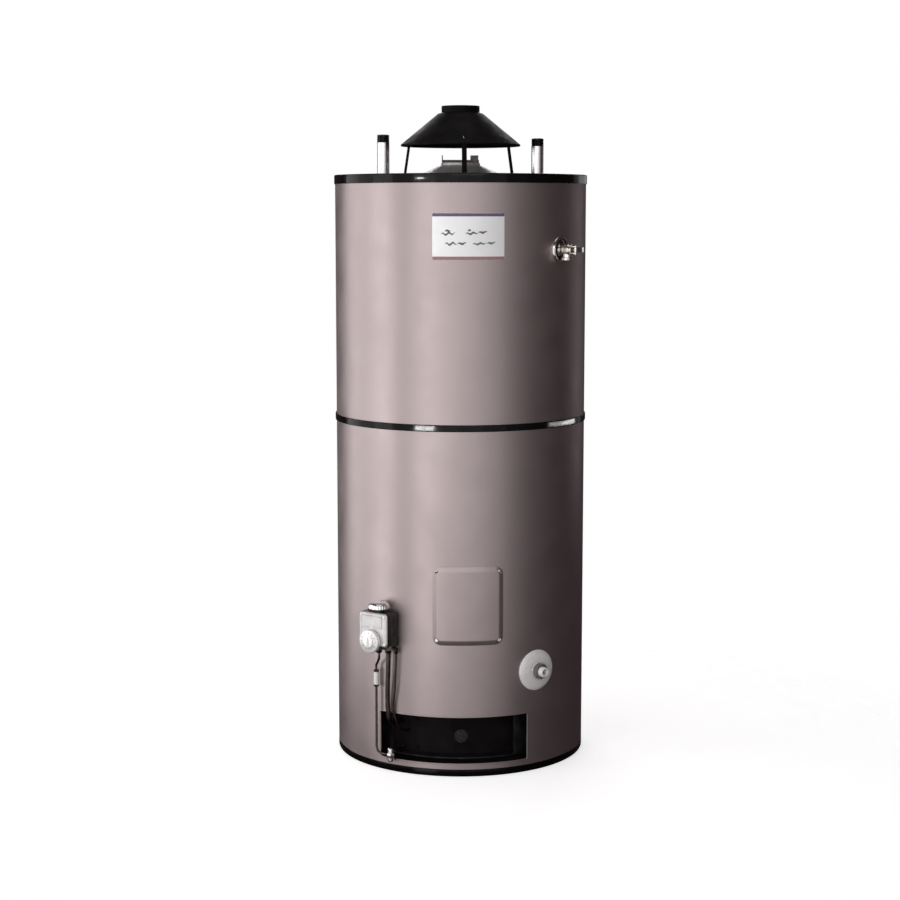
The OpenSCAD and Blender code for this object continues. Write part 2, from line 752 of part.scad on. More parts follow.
// The same, on the pilot button's axis.
module on_button_axis() {
    translate([button_x, gas_top, button_d]) rotate([-90, 0, 0]) children();
}

// Places children on the gas inlet's axis: their +Z points left, with z = 0 at the control's side.
module on_inlet_axis() {
    translate([-gas_w / 2, 0, inlet_d]) rotate([0, -90, 0]) children();
}

module gas_body() {
    color([0.62, 0.63, 0.64]) on_jacket(gas_az, gas_z) difference() {
        union() {
            rounded_slab(gas_w - 8, gas_h - 6, gas_corner, gas_d0, gas_d1);
            on_cock_axis() rod(17, -4, 7);
            on_button_axis() rod(7.2, -4, 4);
            on_inlet_axis() rod(14, -6, 6);
            rod(thread_r, gas_d0 - 4, gas_d0 + 1);
        }
        on_cock_axis() rod(shaft_r + shaft_clearance, -20, 20);
        on_button_axis() rod(button_r + shaft_clearance, -22, 18);
        on_inlet_axis() rod(9.6, -12, 12);
    }
}

module gas_cover() {
    color([0.78, 0.79, 0.8]) on_jacket(gas_az, gas_z) difference() {
        translate([0, (gas_top + gas_cover_low) / 2, 0])
            rounded_slab(gas_w, gas_top - gas_cover_low, gas_corner, gas_d1 + 0.1, gas_d2);
        translate([dial_x, dial_y, 0]) rod(shaft_r + shaft_clearance, gas_d1 - 1, gas_d2 + 1);
        on_cock_axis() rod(18, -8, 12);
    }
}

module gas_cock_knob() {
    color([0.85, 0.85, 0.85]) on_jacket(gas_az, gas_z) on_cock_axis() {
        rotate_extrude() polygon(concat([[0, 7.6], [knob_r, 7.6]],
            [for (i = [0:6]) [knob_r * cos(i * 15), 10 + 14 * sin(i * 15)]]));
        rod(shaft_r, -16, 8);
    }
}

module temperature_dial() {
    color([0.9, 0.9, 0.9]) on_jacket(gas_az, gas_z) translate([dial_x, dial_y, gas_d2]) {
        rotate_extrude() polygon([[0, 0.4], [dial_r, 0.4], [dial_r, 9], [dial_r - 3, 13], [dial_r - 8, 14.5],
            [0, 14.5]]);
        rod(shaft_r, -16, 1);
    }
}

module pilot_button() {
    color([0.75, 0.1, 0.08]) on_jacket(gas_az, gas_z) on_button_axis() rod(button_r, -9, 12);
}

module pilot_spring() {
    color("silver") on_jacket(gas_az, gas_z) on_button_axis() coil_spring(3.2, 0.5, -21.6, -9.4, 5);
}

module thermostat_probe() {
    color([0.75, 0.55, 0.4]) on_jacket(gas_az, gas_z) {
        rod(thread_r, -skin - 16, gas_d0 - 4.1);
        rod(5.5, -skin - 230, -skin - 15);
    }
}

// ---------- burner supply tubes ----------

module tube_nut(place, nut_r) {
    translate(polar(place[0], place[1], tube_top_z + 0.4)) cylinder(r = nut_r, h = 16.6, $fn = 6);
}

module tube_nuts() {
    color("goldenrod") {
        tube_nut(burner_nut, 9.5);
        tube_nut(pilot_nut, 9.5);
        tube_nut(lead_nut, 5.5);
    }
}

function across(az) = [cos(az), sin(az), 0];
function outward(az) = [sin(az), -cos(az), 0];

module burner_tube() {
    color([0.45, 0.42, 0.4]) sweep(burner_line, 6.35, across(-36.4), 14);
}

module pilot_tube() {
    color([0.55, 0.5, 0.46]) {
        sweep(pilot_line_outer, 3.2, outward(-40));
        sweep(pilot_line_inner, 3.2, across(-35));
    }
}

module pilot_filter() {
    color("silver") translate(polar(filter_at[0], filter_at[1], 0)) difference() {
        union() {
            rod(6.5, 230, 265);
            translate([0, 0, 226]) cylinder(r = 6, h = 5, $fn = 6);
            translate([0, 0, 264]) cylinder(r = 6, h = 5, $fn = 6);
        }
        rod(3.35, 220, 275);
    }
}

module pilot_elbow() {
    color("goldenrod") rotate([0, 0, -35]) translate([0, -349, 0]) difference() {
        union() {
            rod(8.4, 30, 67);
            translate([0, 0, 40]) cylinder(r = 10.5, h = 13, $fn = 6);
            translate([0, 0, 55]) rotate([-90, 0, 0]) rod(5.5, 4, 15.6);
        }
        translate([-15, 0, 47]) rotate([0, 90, 0]) rod(3.6, 0, 12);
    }
}

module thermocouple() {
    color([0.75, 0.5, 0.35]) {
        sweep(lead_line, lead_r, across(-37));
        translate(polar(-52, 160, 118.3)) cylinder(r = 3.1, h = 34);
    }
}

// ---------- burner ----------

module main_burner() {
    color([0.25, 0.25, 0.26]) difference() {
        rotate_extrude() polygon([
            [0, burner_z + 40], [112, burner_z + 26], [118, burner_z + 20], [112, burner_z + 12],
            [30, burner_z + 4], [24, burner_z], [24, burner_z - 4], [32, burner_z - 4], [32, burner_z - 6],
            [21, burner_z - 6], [21, burner_z + 4], [30, burner_z + 8], [106, burner_z + 17],
            [106, burner_z + 22], [0, burner_z + 35]]);
        for (i = [0:23]) rotate([0, 0, i * 15]) translate([95, 0, burner_z + 18]) rod(2.5, 0, 22);
    }
}

module shutter_windows(z0, z1) {
    for (i = [0:2]) rotate([0, 0, i * 120]) translate([16.5, 0, 0]) rod(5.5, z0, z1);
}

module air_shutter() {
    shutter_z = burner_z - 9;
    color([0.6, 0.6, 0.6]) difference() {
        union() {
            rod(30, shutter_z, shutter_z + 2);
            translate([28, -5, shutter_z]) cube([14, 10, 2]);
        }
        rod(6 + shaft_clearance, shutter_z - 1, shutter_z + 3);
        shutter_windows(shutter_z - 1, shutter_z + 3);
    }
}

module burner_orifice() {
    color("goldenrod") difference() {
        union() {
            rod(6, 94.5, burner_z - 6);
            translate([0, 0, 94.5]) cylinder(r = 10, h = 6, $fn = 6);
        }
        rod(1.5, 94, burner_z - 5);
    }
}

module burner_bracket() {
    plate_z = burner_z - 12.5;
    color([0.4, 0.4, 0.41]) difference() {
        union() {
            translate([-130, -18, plate_z]) cube([260, 36, 3]);
            for (s = [-1, 1]) translate([s * 128.5 - 1.5, -18, base_h + pan_t])
                cube([3, 36, plate_z + 28 - base_h - pan_t]);
        }
        rod(6.1, plate_z - 1, plate_z + 4);
        shutter_windows(plate_z - 1, plate_z + 4);
    }
}

module pilot_burner() {
    color([0.5, 0.5, 0.5]) difference() {
        union() {
            translate(polar(-42, 152, 112.2)) cylinder(r = 6, h = 34);
            translate(polar(-42, 152, 146)) cylinder(r = 8, h = 4);
        }
        translate(polar(-42, 152, 140)) cylinder(r = 3, h = 20);
    }
}

// ---------- combustion opening ----------

module access_frame() {
    color([0.05, 0.05, 0.05]) intersection() {
        difference() {
            opening_cut(open_w, open_h, 6);
            opening_cut(open_w - 2 * frame_wall, open_h - 2 * frame_wall, 5);
        }
        ring(door_r0 + door_t + 0.3, jacket_in - 0.2, open_z0 - 5, open_z1 + 5);
    }
}

module inner_door() {
    color([0.05, 0.05, 0.05]) difference() {
        sector(-28, 26, door_r0, door_r0 + door_t, door_z0, door_z1);
        on_jacket(sight_az, open_z) rod(15, -skin - 8, -skin + 8);
        at_door_screws() translate([0, 0, -skin]) screw_hole();
    }
}

module sight_glass() {
    color([0.6, 0.65, 0.65, 0.5]) on_jacket(sight_az, open_z) {
        rod(14.7, -skin - 0.5, -skin + 3);
        ring(13, 18, -skin + 2.2, -skin + 4.5);
    }
}

module manifold_plate() {
    color([0.06, 0.06, 0.06]) difference() {
        sector(-42, -28.4, door_r0, door_r0 + door_t, door_z0, door_z1);
        on_jacket(burner_hole[0], burner_hole[1]) rod(7.6, -skin - 8, -skin + 8);
        on_jacket(pilot_hole[0], pilot_hole[1]) rod(3.7, -skin - 8, -skin + 8);
        on_jacket(lead_hole[0], lead_hole[1]) rod(lead_r + 0.7, -skin - 8, -skin + 8);
        at_door_screws() translate([0, 0, -skin]) screw_hole();
    }
}

base_ring();
base_pan();
jacket_lower();
jacket_upper();
jacket_band();
top_cover();
insulation_lower();
insulation_upper();
tank_shell();
tank_bottom_head();
tank_top_head();
flue_tube();
flue_baffle();
flue_collar();
draft_hood();
hood_leg_front();
hood_leg_right();
hood_leg_left();
cold_nipple();
hot_nipple();
dip_tube();
anode_rod();
label_plate();
cleanout_cover();
handhole_gasket();
handhole_plate();
handhole_bolts();
relief_escutcheon();
relief_body();
relief_stem();
relief_spring();
relief_lever();
relief_lever_pin();
drain_escutcheon();
drain_body();
drain_plug();
drain_knob();
gas_body();
gas_cover();
gas_cock_knob();
temperature_dial();
pilot_button();
pilot_spring();
thermostat_probe();
tube_nuts();
burner_tube();
pilot_tube();
pilot_filter();
pilot_elbow();
thermocouple();
main_burner();
burner_orifice();
air_shutter();
burner_bracket();
pilot_burner();
access_frame();
inner_door();
sight_glass();
manifold_plate();
sheet_metal_screws();
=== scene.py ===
import json
import math

import bmesh
import bpy
from mathutils import Matrix, Vector


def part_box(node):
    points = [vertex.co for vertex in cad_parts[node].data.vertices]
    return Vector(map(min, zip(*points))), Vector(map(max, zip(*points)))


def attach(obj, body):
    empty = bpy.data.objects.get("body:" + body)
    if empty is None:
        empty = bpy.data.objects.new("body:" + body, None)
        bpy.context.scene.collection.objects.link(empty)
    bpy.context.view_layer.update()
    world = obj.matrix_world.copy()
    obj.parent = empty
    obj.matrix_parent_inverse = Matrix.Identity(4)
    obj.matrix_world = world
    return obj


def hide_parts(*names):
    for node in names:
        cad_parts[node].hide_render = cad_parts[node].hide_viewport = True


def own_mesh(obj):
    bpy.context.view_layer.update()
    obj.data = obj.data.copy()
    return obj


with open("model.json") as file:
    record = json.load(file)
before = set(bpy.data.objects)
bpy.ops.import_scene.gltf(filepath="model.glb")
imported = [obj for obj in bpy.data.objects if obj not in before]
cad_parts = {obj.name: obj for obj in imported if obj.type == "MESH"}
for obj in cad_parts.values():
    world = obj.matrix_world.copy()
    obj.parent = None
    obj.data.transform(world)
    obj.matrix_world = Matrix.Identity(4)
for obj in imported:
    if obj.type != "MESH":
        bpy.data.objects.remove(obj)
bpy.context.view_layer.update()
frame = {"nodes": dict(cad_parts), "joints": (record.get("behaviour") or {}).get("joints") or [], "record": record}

MM = 0.001
HEATER = "heater"


# ---------- places, read from the frame ----------

def box_mm(node):
    low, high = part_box(node)
    return low / MM, high / MM


def azimuth_of(axis):
    return math.degrees(math.atan2(axis[0], -axis[1]))


JOINTS = {joint["name"]: joint for joint in frame["joints"]}

BODY_R = box_mm("jacket_lower")[1].x
SHEET = 1.2
JACKET_STEPS = 288

JACKET_Z = [end.z for node in ("jacket_lower", "jacket_upper") for end in box_mm(node)]
BAND_LOW, BAND_HIGH = box_mm("jacket_band")
COVER_LOW, COVER_HIGH = box_mm("top_cover")
DECK_Z = box_mm("flue_collar")[0].z
HOOD_LOW, HOOD_HIGH = box_mm("draft_hood")
NIPPLE_X = sum(end.x for end in box_mm("cold_nipple")) / 2
NIPPLE_R = box_mm("cold_nipple")[1].x - NIPPLE_X
LABEL_Z = sum(end.z for end in box_mm("label_plate")) / 2
PANEL_Z = sum(end.z for end in box_mm("cleanout_cover")) / 2
OPENING_Z = [end.z for end in box_mm("access_frame")]
OPENING_AZ = -7
OPENING_W = 390
OPENING_MID = sum(OPENING_Z) / 2
OPENING_H = OPENING_Z[1] - OPENING_Z[0]
BACK_AZ = 180


def on_jacket(azimuth, z):
    """Frame of a fitting on the jacket's face: +Z out, +Y up, +X to the right."""
    a = math.radians(azimuth)
    across, out = Vector((math.cos(a), math.sin(a), 0)), Vector((math.sin(a), -math.cos(a), 0))
    place = Matrix((across, Vector((0, 0, 1)), out)).transposed().to_4x4()
    place.translation = out * BODY_R + Vector((0, 0, z))
    return place


def polar(azimuth, radius, z):
    a = math.radians(azimuth)
    return Vector((radius * math.sin(a), -radius * math.cos(a), z))


def move(x, y, z):
    return Matrix.Translation((x, y, z))


def turn(degrees, axis):
    return Matrix.Rotation(math.radians(degrees), 4, axis)


GAS_AZ = azimuth_of(JOINTS["temperature_turn"]["axis"])
GAS_TOP = 50
GAS_Z = JOINTS["gas_cock_turn"]["pos_m"][2] / MM - GAS_TOP
RELIEF_AZ = azimuth_of(JOINTS["relief_lift"]["axis"])
RELIEF_Z = JOINTS["relief_lever_turn"]["pos_m"][2] / MM
DRAIN_AZ = azimuth_of(JOINTS["drain_turn"]["axis"])
DRAIN_Z = JOINTS["drain_turn"]["pos_m"][2] / MM
GAS = on_jacket(GAS_AZ, GAS_Z)
RELIEF = on_jacket(RELIEF_AZ, RELIEF_Z)
DRAIN = on_jacket(DRAIN_AZ, DRAIN_Z)
SWAP_YZ = Matrix(((1, 0, 0, 0), (0, 0, 1, 0), (0, 1, 0, 0), (0, 0, 0, 1)))
TURN_UP = turn(-90, "X")
TURN_DOWN = turn(90, "X")
# Places on the gas control: its knob's and button's axes point up, its dial's axis points out.
COCK_AXIS = GAS @ move(0, GAS_TOP, 30) @ TURN_UP
BUTTON_AXIS = GAS @ move(-35.5, GAS_TOP, 22) @ TURN_UP
DIAL_X, DIAL_Y = -6, -26


# ---------- mesh tools ----------

def rounded(corners, steps=4):
    """Closed outline from (x, y, fillet radius) corners."""
    outline = []
    count = len(corners)
    for i, (x, y, radius) in enumerate(corners):
        here = Vector((x, y))
        before = Vector(corners[i - 1][:2]) - here
        after = Vector(corners[(i + 1) % count][:2]) - here
        if radius <= 0:
            outline.append(here)
            continue
        half = before.angle(after) / 2
        reach = min(radius / math.tan(half), 0.49 * before.length, 0.49 * after.length)
        start, end = before.normalized() * reach, after.normalized() * reach
        centre = (start + end).normalized() * (reach / math.cos(half))
        a, b = start - centre, end - centre
        for k in range(steps + 1):
            outline.append(here + centre + a.slerp(b, k / steps, a).normalized() * a.length)
    return [(point.x, point.y) for point in outline]


def turns(steps):
    return [2 * math.pi * k / steps for k in range(steps)]


def circle(radius, steps=48):
    return [(radius * math.cos(t), radius * math.sin(t)) for t in turns(steps)]


def hexagon(radius):
    """A hexagon with the same number of points as circle()."""
    outline = []
    for t in turns(48):
        reach = radius * math.cos(math.pi / 6) / math.cos(t % (math.pi / 3) - math.pi / 6)
        outline.append((reach * math.cos(t), reach * math.sin(t)))
    return outline


def grooved(flutes, points, *steps):
    """Round sections with rounded grooves. A step is (radius, depth of the grooves, height)."""
    sections = []
    for radius, depth, z in steps:
        reach = [(radius - depth * (0.5 - 0.5 * math.cos(flutes * t)) ** 2, t) for t in turns(points)]
        sections.append(([(r * math.cos(t), r * math.sin(t)) for r, t in reach], z))
    return sections


def panel(width, height, radius, inset=0):
    """A rectangle with rounded corners."""
    w, h, r = width / 2 - inset, height / 2 - inset, max(radius - inset, 0.2)
    return rounded([(w, -h, r), (w, h, r), (-w, h, r), (-w, -h, r)], 7)


def panels(width, height, radius, *steps):
    """Sections of a rounded rectangle. A step is (inset, height)."""
    return [(panel(width, height, radius, inset), z) for inset, z in steps]


def discs(*steps, points=48):
    """Round sections. A step is (radius, height)."""
    return [(circle(radius, points), z) for radius, z in steps]


def bridge(bm, low, high):
    count = len(low)
    for k in range(count):
        bm.faces.new((low[k], low[(k + 1) % count], high[(k + 1) % count], high[k]))


def cap(bm, rings):
    """Joins rings of equally many points into a closed solid with flat ends."""
    for low, high in zip(rings, rings[1:]):
        bridge(bm, low, high)
    bm.faces.new(rings[0][::-1])
    bm.faces.new(rings[-1])


def stack(bm, sections, place=Matrix()):
    """Closed solid skinned over (outline, height) sections that have equally many points."""
    cap(bm, [[bm.verts.new(place @ Vector((x, y, z))) for x, y in outline] for outline, z in sections])


def skinned(sections, place=Matrix()):
    """A new shape with only stack()'s solid in it."""
    bm = bmesh.new()
    stack(bm, sections, place)
    return bm


def lathe(bm, profile, place=Matrix(), steps=192, pitch=0):
    """Closed solid of revolution. A profile point is (radius, height) or (radius, height, thread depth)."""
    rings = []
    for point in profile:
        radius, height = point[0], point[1]
        depth = point[2] if len(point) > 2 else 0
        if radius < 1e-6:
            rings.append([bm.verts.new(place @ Vector((0, 0, height)))])
            continue
        ring = []
        for k in range(steps):
            share = k / steps
            groove = depth * abs(2 * ((height / pitch - share) % 1) - 1) if depth else 0
            reach, a = radius - groove, 2 * math.pi * share
            ring.append(bm.verts.new(place @ Vector((reach * math.cos(a), reach * math.sin(a), height))))
        rings.append(ring)
    for low, high in zip(rings, rings[1:] + rings[:1]):
        if len(low) == 1 and len(high) == 1:
            continue
        if len(low) == 1:
            for k in range(steps):
                bm.faces.new((low[0], high[(k + 1) % steps], high[k]))
        elif len(high) == 1:
            for k in range(steps):
                bm.faces.new((low[k], low[(k + 1) % steps], high[0]))
        else:
            bridge(bm, low, high)


def turned(profile, place=Matrix(), steps=192, pitch=0):
    """A new shape with only lathe()'s solid in it."""
    bm = bmesh.new()
    lathe(bm, profile, place, steps, pitch)
    return bm


def threads(radius, low, high, pitch, depth):
    """Profile points of a male thread from low to high, shallow at both ends."""
    rows = max(2, round((high - low) / pitch * 8))
    points = []
    for k in range(rows + 1):
        z = low + (high - low) * k / rows
        ease = min(1, (z - low) / pitch, (high - z) / pitch)
        points.append((radius - depth * 0.25 * (1 - ease), z, depth * ease))
    return points


def smooth_line(places):
    """Catmull-Rom line through places given as (azimuth, radius, z)."""
    points = [polar(*place) for place in places]
    line = []
    last, steps = len(points) - 1, 8
    for i in range(last):
        a, b = points[max(i - 1, 0)], points[i]
        c, d = points[i + 1], points[min(i + 2, last)]
        for k in range(steps):
            t = k / steps
            line.append(0.5 * (2 * b + (c - a) * t + (2 * a - 5 * b + 4 * c - d) * t * t
                + (3 * b - a - 3 * c + d) * t ** 3))
    line.append(points[last])
    return line


def sweep(bm, line, radius, sides):
    """Round tube along a line, with caps."""
    side = Vector((0, 0, 1)).cross(line[1] - line[0])
    if side.length < 1e-6:
        side = Vector((1, 0, 0))
    rings = []
    last = len(line) - 1
    for i, point in enumerate(line):
        way = (line[min(i + 1, last)] - line[max(i - 1, 0)]).normalized()
        side = (side - way * side.dot(way)).normalized()
        up = way.cross(side)
        rings.append([bm.verts.new(point + side * radius * math.cos(t) + up * radius * math.sin(t))
            for t in turns(sides)])
    cap(bm, rings)


def wrap(bm, azimuth, z):
    """Bends a flat shape, drawn as (across, up, out), on to the jacket's face in narrow strips."""
    reach, strip = max(abs(v.co.x) for v in bm.verts), 4
    for k in range(-int(reach / strip), int(reach / strip) + 1):
        parts = bm.verts[:] + bm.edges[:] + bm.faces[:]
        bmesh.ops.bisect_plane(bm, geom=parts, plane_co=(k * strip, 0, 0), plane_no=(1, 0, 0), dist=1e-4)
    for v in bm.verts:
        across, up, out = v.co
        v.co = polar(azimuth + math.degrees(across / BODY_R), BODY_R + out, z + up)


def sharpen(mesh, angle=32):
    """Smooth shading that breaks at edges steeper than angle."""
    bm = bmesh.new()
    bm.from_mesh(mesh)
    bmesh.ops.recalc_face_normals(bm, faces=bm.faces[:])
    limit = math.radians(angle)
    for face in bm.faces:
        face.smooth = True
    for edge in bm.edges:
        edge.smooth = len(edge.link_faces) == 2 and edge.calc_face_angle(0) < limit
    bm.to_mesh(mesh)
    bm.free()


def round_normals(mesh):
    """Gives faces that stand on a cylinder round the axis that cylinder's normals."""
    normals = [Vector()] * len(mesh.loops)
    for face in mesh.polygons:
        out = Vector((face.center.x, face.center.y, 0)).normalized()
        side = out.dot(face.normal)
        if abs(side) < 0.995:
            continue
        for loop in face.loop_indices:
            point = mesh.vertices[mesh.loops[loop].vertex_index].co
            normals[loop] = math.copysign(1, side) * Vector((point.x, point.y, 0)).normalized()
    mesh.normals_split_custom_set(normals)


def settle(obj):
    """Applies the object's modifiers to its mesh."""
    graph = bpy.context.evaluated_depsgraph_get()
    mesh = bpy.data.meshes.new_from_object(obj.evaluated_get(graph))
    obj.modifiers.clear()
    obj.data = mesh


def to_object(name, bm):
    bm.transform(Matrix.Scale(MM, 4))
    mesh = bpy.data.meshes.new(name)
    bmesh.ops.recalc_face_normals(bm, faces=bm.faces[:])
    bm.to_mesh(mesh)
    bm.free()
    obj = bpy.data.objects.new(name, mesh)
    bpy.context.scene.collection.objects.link(obj)
    return obj


def piece(name, bm, slot, replaces=None, body=HEATER, look=None, holes=None, bevel=0, angle=32,
        on_cylinder=False, solid_parts=1):
    """Makes a piece of the drawn shape: cuts holes, softens edges, sets the finish and its body."""
    obj = to_object(name, bm)
    if holes is not None:
        cutter = to_object(name + "_holes", holes)
        cut = obj.modifiers.new("holes", "BOOLEAN")
        cut.operation, cut.solver, cut.object = "DIFFERENCE", "EXACT", cutter
        cut.use_self = solid_parts > 1
        settle(obj)
        bpy.data.objects.remove(cutter)
    if bevel:
        soft = obj.modifiers.new("edges", "BEVEL")
        soft.width, soft.segments, soft.limit_method = bevel * MM, 2, "ANGLE"
        soft.angle_limit = math.radians(angle)
        settle(obj)
    sharpen(obj.data, angle)
    if on_cylinder:
        round_normals(obj.data)
    obj.data.materials.clear()
    obj.data.materials.append(look or FINISHES[slot])
    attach(obj, body)
    if replaces:
        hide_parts(replaces)
    return obj


def screw_head(bm, place):
    """Hex washer head with a dished top, and its shank; the seat is at z = 0."""
    stack(bm, discs((1.9, -8), (1.9, 0), (4.6, 0), (4.6, 0.5), (4.2, 0.9))
        + [(hexagon(3.75), 1), (hexagon(3.75), 3.5), (hexagon(3.4), 4.1)]
        + discs((2.7, 4.1), (2.3, 3.6), (0.7, 3.5)), place)


def hex_nut(bm, place, radius, low, high):
    """Hexagonal collar with chamfered ends along the place's +Z."""
    chamfer = radius * 0.14
    foot, edge, side = circle(radius * 0.8), hexagon(radius * 0.94), hexagon(radius)
    stack(bm, [(foot, low), (edge, low), (side, low + chamfer), (side, high - chamfer), (edge, high),
        (foot, high)], place)


# ---------- finishes ----------

class Finish:
    """A Principled material with short calls for patterns in the row frame, in metres."""

    def __init__(self, name, color, roughness, metallic=0, **sockets):
        self.material = bpy.data.materials.new(name)
        self.material.use_nodes = True
        self.tree = self.material.node_tree
        self.shader = self.tree.nodes["Principled BSDF"]
        self.fill(self.shader, Base_Color=(*color, 1), Roughness=roughness, Metallic=metallic, **sockets)
        self.where = self.add("TexCoord").outputs["Object"]
        self.height = None

    def fill(self, node, **sockets):
        for socket, value in sockets.items():
            node.inputs[socket.replace("_", " ")].default_value = value
        return node

    def add(self, kind, **sockets):
        return self.fill(self.tree.nodes.new("ShaderNode" + kind), **sockets)

    def link(self, output, node, socket):
        self.tree.links.new(output, node.inputs[socket])

    def stretched(self, scale):
        """Coordinates stretched along the axes."""
        node = self.add("Mapping", Scale=scale)
        self.link(self.where, node, "Vector")
        return node.outputs["Vector"]

    def noise(self, scale, detail=3, stretch=None):
        node = self.add("TexNoise", Scale=scale, Detail=detail)
        self.link(self.stretched(stretch) if stretch else self.where, node, "Vector")
        return node.outputs["Fac"]

    def cells(self, scale, output="Color"):
        node = self.add("TexVoronoi", Scale=scale)
        self.link(self.where, node, "Vector")
        return node.outputs[output]

    def levels(self, value, low, high, to_low=0, to_high=1):
        node = self.add("MapRange", From_Min=low, From_Max=high, To_Min=to_low, To_Max=to_high)
        self.link(value, node, "Value")
        return node.outputs["Result"]

    def ramp(self, value, *stops):
        node = self.add("ValToRGB")
        elements = node.color_ramp.elements
        while len(elements) < len(stops):
            elements.new(0.5)
        for element, (position, color) in zip(elements, stops):
            element.position, element.color = position, (*color, 1)
        self.link(value, node, "Fac")
        return node.outputs["Color"]

    def blend(self, share, a, b, mode="MIX"):
        node = self.add("Mix")
        node.data_type, node.blend_type = "RGBA", mode
        for index, value in ((0, share), (6, a), (7, b)):
            if hasattr(value, "links"):
                self.tree.links.new(value, node.inputs[index])
            else:
                node.inputs[index].default_value = (*value, 1) if isinstance(value, tuple) else value
        return node.outputs[2]

    def color(self, output):
        self.link(output, self.shader, "Base Color")

    def roughness(self, value, low, high, span=(0.3, 0.7)):
        self.link(self.levels(value, *span, low, high), self.shader, "Roughness")

    def bump(self, height, distance):
        """Adds relief; distance is its depth in metres."""
        node = self.add("Bump", Distance=distance)
        self.link(height, node, "Height")
        if self.height is not None:
            self.link(self.height, node, "Normal")
        self.height = node.outputs["Normal"]
        self.link(self.height, self.shader, "Normal")


def jacket_paint():
    f = Finish("jacket_paint", (0.6, 0.5, 0.5), 0.4, 0.9)
    cloud = f.noise(5, 4, (1, 1, 0.35))
    streak = f.noise(60, 2, (1, 1, 0.05))
    base = f.ramp(cloud, (0.3, (0.425, 0.352, 0.355)), (0.7, (0.465, 0.388, 0.388)))
    base = f.blend(f.levels(streak, 0.62, 0.8, 0, 0.12), base, (0.54, 0.47, 0.465))
    flake = f.levels(f.cells(2600, "Distance"), 0, 0.6, 0.1, 0)
    f.color(f.blend(flake, base, (0.62, 0.57, 0.56)))
    f.roughness(f.noise(14, 5), 0.36, 0.44)
    f.bump(f.noise(420, 1), 0.00003)
    f.bump(f.noise(7, 1, (1, 1, 0.5)), 0.00035)
    return f.material


def black_enamel():
    f = Finish("black_enamel", (0.003, 0.0025, 0.0025), 0.12, Specular_IOR_Level=0.17)
    dust = f.levels(f.noise(900, 4), 0.62, 0.78, 0, 0.2)
    f.color(f.blend(dust, (0.003, 0.0025, 0.0025), (0.02, 0.018, 0.018)))
    f.roughness(f.noise(40, 5), 0.08, 0.16)
    f.bump(f.noise(260, 1), 0.00002)
    return f.material


def black_satin():
    f = Finish("black_satin", (0.008, 0.007, 0.007), 0.5, Specular_IOR_Level=0.06)
    grain = f.noise(1500, 2)
    soot = f.noise(18, 4)
    f.color(f.ramp(soot, (0.35, (0.004, 0.003, 0.003)), (0.75, (0.01, 0.008, 0.008))))
    f.roughness(f.noise(30, 4), 0.42, 0.6)
    f.bump(grain, 0.00006)
    return f.material


def galvanised():
    f = Finish("galvanised", (0.9, 0.9, 0.9), 0.2, 1)
    spangle = f.cells(160, "Color")
    f.color(f.blend(0.03, f.ramp(f.noise(24), (0.3, (0.92, 0.91, 0.92)), (0.7, (0.98, 0.97, 0.97))),
        spangle, "SOFT_LIGHT"))
    f.roughness(f.noise(120, 3), 0.15, 0.22)
    f.bump(f.noise(700, 2), 0.000002)
    return f.material


def zinc_plate():
    f = Finish("zinc_plate", (0.75, 0.76, 0.78), 0.25, 1)
    f.color(f.ramp(f.noise(130, 3), (0.3, (0.66, 0.68, 0.74)), (0.55, (0.8, 0.8, 0.8)),
        (0.75, (0.82, 0.78, 0.68))))
    f.roughness(f.noise(300, 3), 0.18, 0.34)
    f.bump(f.noise(2200, 2), 0.00001)
    return f.material


def chrome_ring():
    f = Finish("chrome_ring", (0.85, 0.84, 0.85), 0.12, 1)
    f.color(f.ramp(f.noise(70, 3), (0.3, (0.78, 0.77, 0.78)), (0.7, (0.9, 0.89, 0.9))))
    f.roughness(f.noise(220, 4), 0.08, 0.22)
    f.bump(f.noise(900, 2), 0.00001)
    return f.material


def metal(name, dark, light, rough, grain=900, depth=0.00002, patch=35, metallic=1):
    """Plain metal: patchy tint, uneven polish and a fine grain."""
    f = Finish(name, light, rough[1], metallic)
    f.color(f.ramp(f.noise(patch, 4), (0.3, dark), (0.7, light)))
    f.roughness(f.noise(patch * 3, 4), *rough)
    f.bump(f.noise(grain, 3), depth)
    return f.material


def plastic(name, dark, light, rough, grain=1400, depth=0.00002):
    """Moulded plastic: slight fading, handling marks and a fine texture."""
    f = Finish(name, light, rough[1], 0, Specular_IOR_Level=0.5)
    f.color(f.ramp(f.noise(26, 4), (0.3, dark), (0.7, light)))
    f.roughness(f.noise(90, 4), *rough)
    f.bump(f.noise(grain, 2), depth)
    return f.material


def foam():
    f = Finish("foam", (0.85, 0.66, 0.3), 0.9)
    f.color(f.ramp(f.cells(260, "Distance"), (0.05, (0.55, 0.36, 0.12)), (0.6, (0.9, 0.72, 0.36))))
    f.roughness(f.noise(50), 0.82, 0.98)
    f.bump(f.cells(260, "Distance"), 0.0012)
    return f.material


def glass():
    f = Finish("glass", (0.02, 0.02, 0.02), 0.2, 0, Transmission_Weight=0.5, IOR=1.47,
        Specular_IOR_Level=0.2)
    f.color(f.ramp(f.noise(200, 4), (0.35, (0.01, 0.01, 0.01)), (0.8, (0.04, 0.038, 0.036))))
    f.roughness(f.noise(60, 3), 0.12, 0.35)
    f.bump(f.noise(300, 1), 0.00002)
    return f.material


